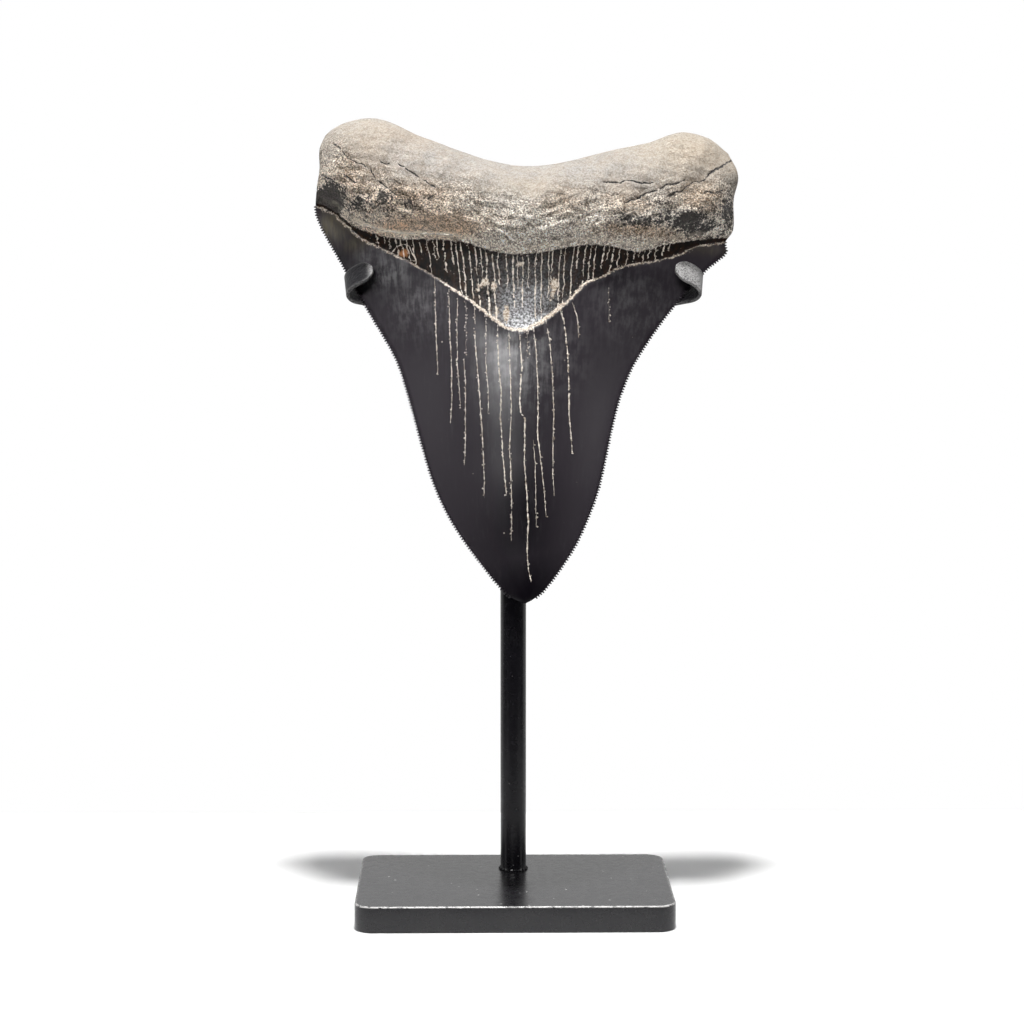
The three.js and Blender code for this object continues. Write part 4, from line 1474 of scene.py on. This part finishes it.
    def add_serrations(self, tooth: bpy.types.Object, material: bpy.types.Material) -> None:
        """Grows a row of denticles along the two cutting edges.

        Args:
            tooth: the tooth.
            material: its finish.
        """
        graph = ShapeGraph("serrations")
        body = graph.inputs.outputs["Geometry"]
        is_edge = graph.named("cutting_edge", "BOOLEAN")
        line = graph.add("GeometryNodeMeshToCurve", {"Mesh": body, "Selection": is_edge}).outputs[0]
        feeds = {"Curve": line, "Length": graph.input("Pitch")}
        spaced = graph.add("GeometryNodeResampleCurve", feeds, mode="LENGTH").outputs[0]
        tangent = graph.add("GeometryNodeInputTangent").outputs[0]
        turned = graph.add("FunctionNodeAlignRotationToVector", {"Vector": tangent}, axis="Z").outputs[0]
        size = graph.add("ShaderNodeCombineXYZ", {
            "X": graph.input("Height"), "Y": graph.input("Height"), "Z": graph.input("Length"),
        }).outputs[0]
        varied = graph.scaled(size, graph.random(0.86, 1.1, graph.input("Seed", "Int")))
        lobe = graph.add("GeometryNodeMeshUVSphere", {"Segments": 8, "Rings": 5, "Radius": 1.0}).outputs[0]
        feeds = {"Points": spaced, "Instance": lobe, "Rotation": turned, "Scale": varied}
        row = graph.add("GeometryNodeInstanceOnPoints", feeds).outputs[0]
        joined = graph.add("GeometryNodeJoinGeometry", {0: row})
        graph.tree.links.new(body, joined.inputs[0])
        graph.end(joined.outputs[0])
        graph.apply(tooth, {
            "Pitch": self.serration_pitch * MM, "Height": self.serration_height * MM,
            "Length": self.serration_length * MM, "Seed": 4, "Material": material,
        })

    def hairlines(self) -> list[Vein]:
        """Gives the fine veins of the dental band, from the root's rim to the enamel's border.

        Returns:
            A vein for each, closer to the middle at its lower end.
        """
        dice = np.random.default_rng(11)
        found = []
        for top in np.arange(-self.hairline_side, self.hairline_side + 1, self.hairline_spacing):
            start = top + dice.uniform(-0.35, 0.35)
            high = float(ROOT_LINE(start)) + 0.1
            pull = (float(ENAMEL_LINE(start)) / high) ** self.hairline_pull
            end = start * pull + dice.uniform(-0.25, 0.25)
            low = float(ENAMEL_LINE(end)) + 0.2
            if high - low < 1.2:
                continue
            steps = np.linspace(0, dice.choice(self.hairline_lengths), self.hairline_points)
            bend = dice.uniform(-self.hairline_bend, self.hairline_bend, self.hairline_points)
            path = tuple((start + (end - start) * step + shift, high + (low - high) * step)
                         for step, shift in zip(steps, bend))
            found.append(Vein(float(dice.choice(self.hairline_widths)), path))
        return found

    def rim_veins(self) -> list[Vein]:
        """Gives the broken cream line along the root's lower rim, bolder at the left.

        Returns:
            A vein for each stretch.
        """
        found = []
        for start, end, width in RIM_STRETCHES:
            places = np.linspace(start, end, max(3, round((end - start) / 2)))
            path = tuple((float(place), float(ROOT_LINE(place)) + RIM_LIFT) for place in places)
            found.append(Vein(width, path))
        return found

    def veins(self, tooth: bpy.types.Object, material: bpy.types.Material) -> bpy.types.Object:
        """Lays all mineral veins on the tooth's surface.

        Args:
            tooth: the finished tooth.
            material: the veins' finish.
        Returns:
            The piece with all veins.
        """
        points: list[tuple[float, float]] = []
        widths: list[float] = []
        edges: list[tuple[int, int]] = []
        for vein in (*CROWN_VEINS, RIM_OF_PATCH, *self.hairlines(), *self.rim_veins()):
            first = len(points)
            count = len(vein.path)
            points.extend(vein.path)
            ends = (0, count - 1)
            widths.extend(vein.width * (self.vein_end if number in ends else 1.0) for number in range(count))
            edges.extend((first + number, first + number + 1) for number in range(count - 1))
        across, up = np.array(points, float).T
        front = self.form.front_height(across, up)
        piece = make_piece("mineral_veins", self.form.place(across, up, front), [], edges)
        store(piece, "width", np.array(widths) * MM)
        self.vein_tree().apply(piece, {
            "Tooth": tooth, "Step": self.vein_step * MM, "Wobble": self.vein_wobble * MM,
            "Sink": self.vein_sink, "Seed": 2.0, "Granule": self.granule * MM,
            "Granule Share": self.granule_share, "Granule Seed": 7,
            "Scatter": self.granule_scatter * MM, "Material": material,
        })
        piece.data.shade_smooth()
        return piece

    def vein_tree(self) -> ShapeGraph:
        """Builds the tree that turns paths into uneven veins on the tooth's surface.

        Returns:
            The tree, with inputs Tooth, Step, Wobble, Sink and Seed, and four for the granules.
        """
        graph = ShapeGraph("veins")
        line = graph.add("GeometryNodeMeshToCurve", {"Mesh": graph.inputs.outputs["Geometry"]}).outputs[0]
        feeds = {"Curve": line, "Length": graph.input("Step")}
        spaced = graph.add("GeometryNodeResampleCurve", feeds, mode="LENGTH").outputs[0]
        place = graph.add("GeometryNodeInputPosition").outputs[0]
        feeds = {"Vector": place, "W": graph.input("Seed"), "Scale": 900.0, "Detail": 3.0, "Roughness": 0.65}
        pattern = graph.add("ShaderNodeTexNoise", feeds, noise_dimensions="4D")
        centred = graph.vector_math("SUBTRACT", pattern.outputs["Color"], (0.5, 0.5, 0.5))
        shift = graph.scaled(centred, graph.input("Wobble"))
        moved = graph.add("GeometryNodeSetPosition", {"Geometry": spaced, "Offset": shift}).outputs[0]
        feeds = {"Object": graph.input("Tooth", "Object")}
        tooth = graph.add("GeometryNodeObjectInfo", feeds).outputs["Geometry"]
        ahead = graph.vector_math("ADD", place, (0.0, -0.03, 0.0))
        feeds = {"Target Geometry": tooth, "Source Position": ahead, "Ray Direction": (0.0, 1.0, 0.0),
                 "Ray Length": 0.1}
        hit = graph.add("GeometryNodeRaycast", feeds)
        fine = graph.add("ShaderNodeTexNoise", {"Vector": place, "Scale": 1500.0, "Detail": 2.0}).outputs[0]
        uneven_share = graph.window(fine, 0.34, 0.64, 0.35, 1.15)
        radius = graph.times(graph.named("width"), uneven_share)
        depth = graph.times(radius, graph.times(graph.input("Sink"), -1.0))
        sunk = graph.scaled(hit.outputs["Hit Normal"], depth)
        target = graph.vector_math("ADD", hit.outputs["Hit Position"], sunk)
        feeds = {"Geometry": moved, "Selection": hit.outputs["Is Hit"], "Position": target}
        laid = graph.add("GeometryNodeSetPosition", feeds).outputs[0]
        profile = graph.add("GeometryNodeCurvePrimitiveCircle", {"Resolution": 6, "Radius": 0.5}).outputs[0]
        feeds = {"Curve": laid, "Profile Curve": profile, "Scale": radius, "Fill Caps": True}
        threads = graph.add("GeometryNodeCurveToMesh", feeds).outputs[0]
        joined = graph.add("GeometryNodeJoinGeometry", {0: self.granules(graph, laid)})
        graph.tree.links.new(threads, joined.inputs[0])
        graph.end(joined.outputs[0])
        return graph

    def granules(self, graph: ShapeGraph, line: Feed) -> Feed:
        """Scatters small granules of mineral along the veins.

        Args:
            graph: the veins' tree.
            line: the veins' centre lines.
        Returns:
            The granules.
        """
        share = graph.input("Granule Share")
        radius = graph.input("Granule")
        scatter = graph.input("Scatter")
        seed = graph.input("Granule Seed", "Int")
        feeds = {0: graph.random(0.0, 1.0, seed), 1: share}
        chosen = graph.add("FunctionNodeCompare", feeds, operation="LESS_THAN")
        feeds = {"Segments": 7, "Rings": 4, "Radius": radius}
        grain = graph.add("GeometryNodeMeshUVSphere", feeds).outputs[0]
        size = graph.random(0.55, 1.35, seed)
        reach = graph.add("ShaderNodeCombineXYZ", {"X": scatter, "Z": scatter}).outputs[0]
        feeds = {0: graph.scaled(reach, -1.0), 1: reach, "Seed": seed}
        aside = graph.add("FunctionNodeRandomValue", feeds, data_type="FLOAT_VECTOR").outputs[0]
        line = graph.add("GeometryNodeSetPosition", {"Geometry": line, "Offset": aside}).outputs[0]
        feeds = {"Points": line, "Selection": chosen.outputs[0], "Instance": grain, "Scale": size}
        return graph.add("GeometryNodeInstanceOnPoints", feeds).outputs[0]


@dataclass
class BlackStand:
    """The black metal stand: base plate, post with its weld bead, and the bracket with its two claws."""

    base_length: float = 3 * INCH
    base_depth: float = 2 * INCH
    base_corner: float = 4.5
    eased_edge: float = 0.4
    worn_width: float = 0.2
    post_back: float = 11.0
    post_top: float = 145.5
    weld_width: float = 0.45
    weld_height: float = 0.6
    strip_width: float = STOCK
    strip_thickness: float = 0.8
    bracket_height: float = 141.0
    gap: float = 0.3
    left_claw: tuple[float, float, float] = (-40.4, 2.2, 151.0)
    right_claw: tuple[float, float, float] = (45.2, 1.3, 151.3)
    claw_flare: float = 0.11
    claw_tilt: float = math.radians(45)
    claw_pull: float = 8.0
    post_pull: float = 14.0
    strip_edge: float = 0.16
    corner_points: int = 13
    edge_points: int = 6
    post_sides: int = 96
    claw_steps: int = 40
    arm_steps: int = 30
    strip_columns: int = 9
    claw_path: Stations = (
        (5.4, -4.1), (3.6, -3.4), (2.3, -2.9), (1.2, -2.2), (0.4, -1.2), (0, 0), (0.1, 1), (0.5, 2),
        (1.3, 3), (2.5, 3.9), (3.8, 4.6), (5.2, 5.2), (6.7, 5.6),
    )

    def build(self) -> list[bpy.types.Object]:
        """Builds the stand's three pieces.

        Returns:
            The pieces, dressed and tied to the root body.
        """
        base = self.base_plate()
        dress(base, BASE_STEEL.build())
        stand_for(base, BLACK_SLOT, "base_plate")
        post = self.post(POST_STEEL.build())
        stand_for(post, BLACK_SLOT, "post")
        bracket = self.bracket(BRACKET_STEEL.build())
        stand_for(bracket, BLACK_SLOT, "bracket")
        return [base, post, bracket]

    def base_outline(self, inset: float) -> np.ndarray:
        """Gives the base plate's rounded outline, moved in by the inset.

        Args:
            inset: how far inside the plate's edge.
        Returns:
            Points x, y, anticlockwise from above.
        """
        radius = self.base_corner - inset
        half = np.array([self.base_length / 2, self.base_depth / 2]) - self.base_corner
        corners = []
        for quarter, signs in enumerate(((1, 1), (-1, 1), (-1, -1), (1, -1))):
            angles = np.radians(90 * quarter + np.linspace(0, 90, self.corner_points))
            corners.append(half * signs + radius * np.stack([np.cos(angles), np.sin(angles)], axis=-1))
        return np.vstack(corners)

    def base_plate(self) -> bpy.types.Object:
        """Builds the base plate with softly rounded edges, with wearing along the upper ones and a painted
        highlight along the upper front edge.

        Returns:
            The piece, with its attribute for wearing and the painted highlight.
        """
        angles = np.radians(np.linspace(0, 90, self.edge_points))
        insets = self.eased_edge * (1 - np.sin(angles))
        heights = self.eased_edge * (1 - np.cos(angles))
        levels = [(inset, up, 0.0) for inset, up in zip(insets, heights)]
        levels += [(inset, STOCK - up, min(1.0, 1.5 - 1.5 * up / self.eased_edge))
                   for inset, up in zip(insets[::-1], heights[::-1])]
        levels += [(self.eased_edge + self.worn_width, STOCK, 0.0), (4 * self.eased_edge, STOCK, 0.0)]
        rings = [lifted(self.base_outline(inset), up) for inset, up, _ in levels]
        sides = len(rings[0])
        points = np.vstack(rings)
        piece = make_piece("steel_base", points, tube_faces(len(rings), sides))
        worn_and_highlight = np.repeat([wear_and_highlight for _, _, wear_and_highlight in levels], sides)
        # Painted highlight: the upper edge is pale mostly along the front, where it catches the light, with
        # some wearing elsewhere
        front_edge_highlight = smoothstep(-points[:, 1], 20, 24)
        store(piece, "wear_and_highlight", worn_and_highlight * (0.12 + 0.88 * front_edge_highlight))
        return piece

    def post(self, material: bpy.types.Material) -> bpy.types.Object:
        """Builds the round post and the weld bead at its foot.

        Args:
            material: the finish.
        Returns:
            The piece.
        """
        radius = STOCK / 2
        bead, rise, eased = self.weld_width, self.weld_height, self.eased_edge
        top = self.post_top - STOCK
        profile = [(radius + 0.55 * bead, 0), (radius + 0.4 * bead, 0.3 * rise),
                   (radius + 0.15 * bead, 0.7 * rise), (radius, rise)]
        profile += [(radius, height) for height in np.linspace(3, top - eased, 24)]
        profile += [(radius - 0.3 * eased, top - 0.1 * eased), (radius - eased, top)]
        angles = np.arange(self.post_sides) * 2 * np.pi / self.post_sides
        rings = [
            lifted(np.column_stack([out * np.cos(angles), self.post_back + out * np.sin(angles)]), STOCK + up)
            for out, up in profile
        ]
        piece = make_piece("steel_post", np.vstack(rings), tube_faces(len(rings), self.post_sides))
        store(piece, "wear_and_highlight", np.zeros(len(piece.data.vertices)))
        dress(piece, material)
        self.add_weld_bead(piece, material)
        return piece

    def add_weld_bead(self, post: bpy.types.Object, material: bpy.types.Material) -> None:
        """Lays a ring of small overlapping ripples round the foot of the post.

        Args:
            post: the post.
            material: its finish.
        """
        graph = ShapeGraph("weld_bead")
        ring = graph.add("GeometryNodeMeshCircle", {
            "Vertices": graph.input("Count", "Int"), "Radius": graph.input("Ring Radius"),
        }).outputs[0]
        feeds = {"Geometry": ring, "Translation": graph.input("Centre", "Vector")}
        placed = graph.add("GeometryNodeTransform", feeds).outputs[0]
        ripple = graph.add("GeometryNodeMeshUVSphere", {
            "Segments": 14, "Rings": 8, "Radius": graph.input("Ripple Radius"),
        }).outputs[0]
        size = graph.random(0.85, 1.08, graph.input("Seed", "Int"))
        feeds = {"Points": placed, "Instance": ripple, "Scale": size}
        beads = graph.add("GeometryNodeInstanceOnPoints", feeds).outputs[0]
        joined = graph.add("GeometryNodeJoinGeometry", {0: beads})
        graph.tree.links.new(graph.inputs.outputs["Geometry"], joined.inputs[0])
        smooth = graph.add("GeometryNodeSetShadeSmooth", {"Geometry": joined.outputs[0]}).outputs[0]
        graph.end(smooth)
        graph.apply(post, {
            "Count": 16, "Ring Radius": (STOCK / 2 + 0.28 * self.weld_width) * MM,
            "Ripple Radius": 0.78 * self.weld_width * MM,
            "Centre": (0.0, self.post_back * MM, (STOCK + 0.35 * self.weld_height) * MM), "Seed": 3,
            "Material": material,
        })

    def claw_stations(self, claw: tuple[float, float, float], side: Side) -> list[Station]:
        """Gives half of the bracket, from one claw's tongue to the post.

        Args:
            claw: the outermost point of the claw.
            side: which claw it is.
        Returns:
            The strip's centre, the direction of its width and half its width, at each station.
        """
        sign = side.value
        tilt = self.claw_tilt
        width = Vector((self.claw_flare * sign, math.sin(tilt), math.cos(tilt))).normalized()
        inward = (Vector((-sign, 0, 0)) + width * sign * width.x).normalized()
        forward = inward.cross(width) * -sign
        path = self.round_path()
        steps = np.gradient(path, axis=0)
        steps /= np.linalg.norm(steps, axis=1)[:, None]
        middle = path + np.stack([steps[:, 1], -steps[:, 0]], axis=-1) * self.strip_thickness / 2
        centres = [Vector(claw) + inward * x + forward * y for x, y in middle[::-1]]
        end = centres[0]
        half = self.strip_width / 2
        stations = []
        for centre in centres:
            fullness = float(quarter_round(np.array((centre - end).length), half))
            stations.append((centre, width, half * max(0.3, fullness)))
        return stations + self.arm_stations(stations, sign)

    def round_path(self) -> np.ndarray:
        """Gives the claw's outer path as a smooth curve through its points.

        Returns:
            Points in the plane that the claw is bent in.
        """
        points = np.array(self.claw_path, float)
        lengths = np.concatenate([[0], np.cumsum(np.linalg.norm(np.diff(points, axis=0), axis=1))])
        lines = [SmoothLine(tuple(zip(lengths, points[:, axis]))) for axis in (0, 1)]
        places = np.linspace(0, lengths[-1], self.claw_steps)
        return np.stack([line(places) for line in lines], axis=-1)

    def arm_stations(self, claw: list[Station], sign: int) -> list[Station]:
        """Gives the arm from the claw to the front of the post, turning upright on its way.

        Args:
            claw: the claw's stations.
            sign: -1 for the left arm and 1 for the right one.
        Returns:
            The stations of the arm.
        """
        start, width, half = claw[-1]
        heading = (start - claw[-2][0]).normalized()
        fixed_back = self.post_back - STOCK / 2 - self.gap - self.strip_thickness / 2
        fixed = Vector((0, fixed_back, self.bracket_height))
        before = fixed + Vector((sign * self.post_pull, 0, 0))
        pulls = (start, start + heading * self.claw_pull, before, fixed)
        found = []
        for step in range(1, self.arm_steps + 1):
            share = step / self.arm_steps
            weights = ((1 - share)**3, 3 * share * (1 - share)**2, 3 * share**2 * (1 - share), share**3)
            centre = sum((pull * weight for pull, weight in zip(pulls, weights)), Vector())
            turned = width.lerp(Vector((0, 0, 1)), float(smoothstep(np.array(share), 0, 1))).normalized()
            found.append((centre, turned, half))
        return found

    def bracket(self, material: bpy.types.Material) -> bpy.types.Object:
        """Builds the bracket: one strip, bent into a claw at each end, fixed across the front of the post.

        Args:
            material: the finish.
        Returns:
            The piece.
        """
        left = self.claw_stations(self.left_claw, Side.LEFT)
        right = self.claw_stations(self.right_claw, Side.RIGHT)
        stations = left + right[-2::-1]
        columns = np.linspace(-1, 1, self.strip_columns)
        points = np.array([centre + width * float(half * column)
                           for centre, width, half in stations for column in columns])
        piece = make_piece("steel_bracket", points, grid_faces(len(stations), len(columns)))
        rows = np.repeat(np.arange(len(stations)), len(columns))
        near_end = np.minimum(rows, len(stations) - 1 - rows)
        # The strip's edges and the tongues' ends get real wearing and painted highlights; the right claw is
        # painted lighter where light falls on it
        rim = 0.18 * smoothstep(np.abs(np.tile(columns, len(stations))), 0.85, 1)
        tongue = 0.45 * (1 - smoothstep(near_end, 0, 4))
        right_claw_painted_light = 0.5 * smoothstep(points[:, 0], 20, 40) * (1 - smoothstep(near_end, 16, 24))
        store(piece, "wear_and_highlight", np.maximum.reduce([rim, tongue, right_claw_painted_light]))
        thick = piece.modifiers.new("thickness", "SOLIDIFY")
        thick.thickness = self.strip_thickness * MM
        thick.offset = 0
        eased = piece.modifiers.new("eased", "BEVEL")
        eased.width = self.strip_edge * MM
        eased.segments = 2
        eased.limit_method = "ANGLE"
        make_plain(piece)
        dress(piece, material)
        return piece


@dataclass(frozen=True)
class SoftLight:
    """A soft studio light: its place and target, its size in metres, its watts and its beam in degrees."""

    name: str
    place: tuple[float, float, float]
    target: tuple[float, float, float]
    width: float
    height: float
    power: float
    spread: float = 180.0

    def build(self) -> None:
        """Adds the light."""
        lamp = bpy.data.lights.new(self.name, "AREA")
        lamp.shape = "RECTANGLE"
        lamp.size = self.width
        lamp.size_y = self.height
        lamp.energy = self.power
        lamp.spread = math.radians(self.spread)
        piece = bpy.data.objects.new(self.name, lamp)
        piece.location = self.place
        piece.rotation_euler = (Vector(self.target) - Vector(self.place)).to_track_quat("-Z", "Y").to_euler()
        bpy.context.scene.collection.objects.link(piece)


@dataclass(frozen=True)
class Studio:
    """The camera at the photograph's angle, the pale floor, the soft lights and the white background."""

    camera_place: tuple[float, float, float] = (-9.28, -606.5, 163.4)
    camera_down: float = 6.248
    camera_turn: float = -0.832
    lens: float = 88.9
    sensor: float = 36.0
    floor_side: float = 0.17
    floor_front: float = 0.12
    floor_back: float = 0.10
    soft_share: float = 0.10
    gloss_share: float = 0.85
    ceiling_share: float = 0.05
    lights: tuple[SoftLight, ...] = (
        SoftLight("top_light", (0.0, -0.12, 0.90), (0.0, 0.01, 0.10), 0.065, 0.065, 9.4),
        SoftLight("front_light", (-0.16, -0.90, 0.60), (0.0, -0.01, 0.19), 0.5, 0.22, 0.39, 26.0),
        SoftLight("left_light", (-0.80, -0.20, 0.36), (0.0, 0.0, 0.12), 0.2, 0.5, 1.7),
        SoftLight("right_light", (0.80, -0.20, 0.36), (0.0, 0.0, 0.12), 0.2, 0.5, 1.7),
    )

    def add_camera(self) -> None:
        """Adds the camera and makes it the scene's."""
        data = bpy.data.cameras.new("camera")
        data.sensor_width = self.sensor
        data.lens = self.lens
        camera = bpy.data.objects.new("camera", data)
        camera.location = Vector(self.camera_place) * MM
        camera.rotation_euler = (math.radians(90 - self.camera_down), 0, math.radians(self.camera_turn))
        bpy.context.scene.collection.objects.link(camera)
        bpy.context.scene.camera = camera

    def add_floor(self) -> None:
        """Adds the floor, which isn't part of the object."""
        side, front, back = self.floor_side / MM, self.floor_front / MM, self.floor_back / MM
        corners = np.array([(-side, -front, 0), (side, -front, 0), (side, back, 0), (-side, back, 0)])
        floor = make_piece("floor", corners, [(0, 1, 2, 3)])
        dress(floor, PaperFinish().build(), smooth=False)

    def add_light(self) -> None:
        """Adds the lights, the white background and the plain way of showing colours."""
        for light in self.lights:
            light.build()
        world = bpy.data.worlds.new("white_studio")
        world.use_nodes = True
        graph = NodeGraph(world.node_tree)
        background = graph.tree.nodes["Background"]
        generated = graph.add("ShaderNodeTexCoord").outputs["Generated"]
        direction = graph.add("ShaderNodeSeparateXYZ", {0: generated})
        path = graph.add("ShaderNodeLightPath")
        behind = graph.window(direction.outputs["Y"], -0.1, 0.35)
        overhead = graph.window(direction.outputs["Z"], 0.2, 0.75)
        seen = graph.window(path.outputs["Is Glossy Ray"], 0, 1, self.soft_share, self.gloss_share)
        ceiling = graph.times(overhead, graph.times(seen, self.ceiling_share / self.soft_share))
        around = graph.larger(graph.times(behind, seen), ceiling)
        graph.feed(background.inputs["Color"], WHITE)
        graph.feed(background.inputs["Strength"], graph.larger(path.outputs["Is Camera Ray"], around))
        bpy.context.scene.world = world
        bpy.context.scene.view_settings.view_transform = "Standard"


def main() -> None:
    """Adds the camera, builds the stand and the tooth, then adds the floor and the lights."""
    logging.basicConfig(level=logging.INFO, format="%(name)s: %(message)s")
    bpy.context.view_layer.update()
    studio = Studio()
    studio.add_camera()
    for piece in BlackStand().build() + FossilTooth(ToothForm()).build():
        log.info("finished %s", piece.name)
    studio.add_floor()
    studio.add_light()


if __name__ == "__main__":
    main()
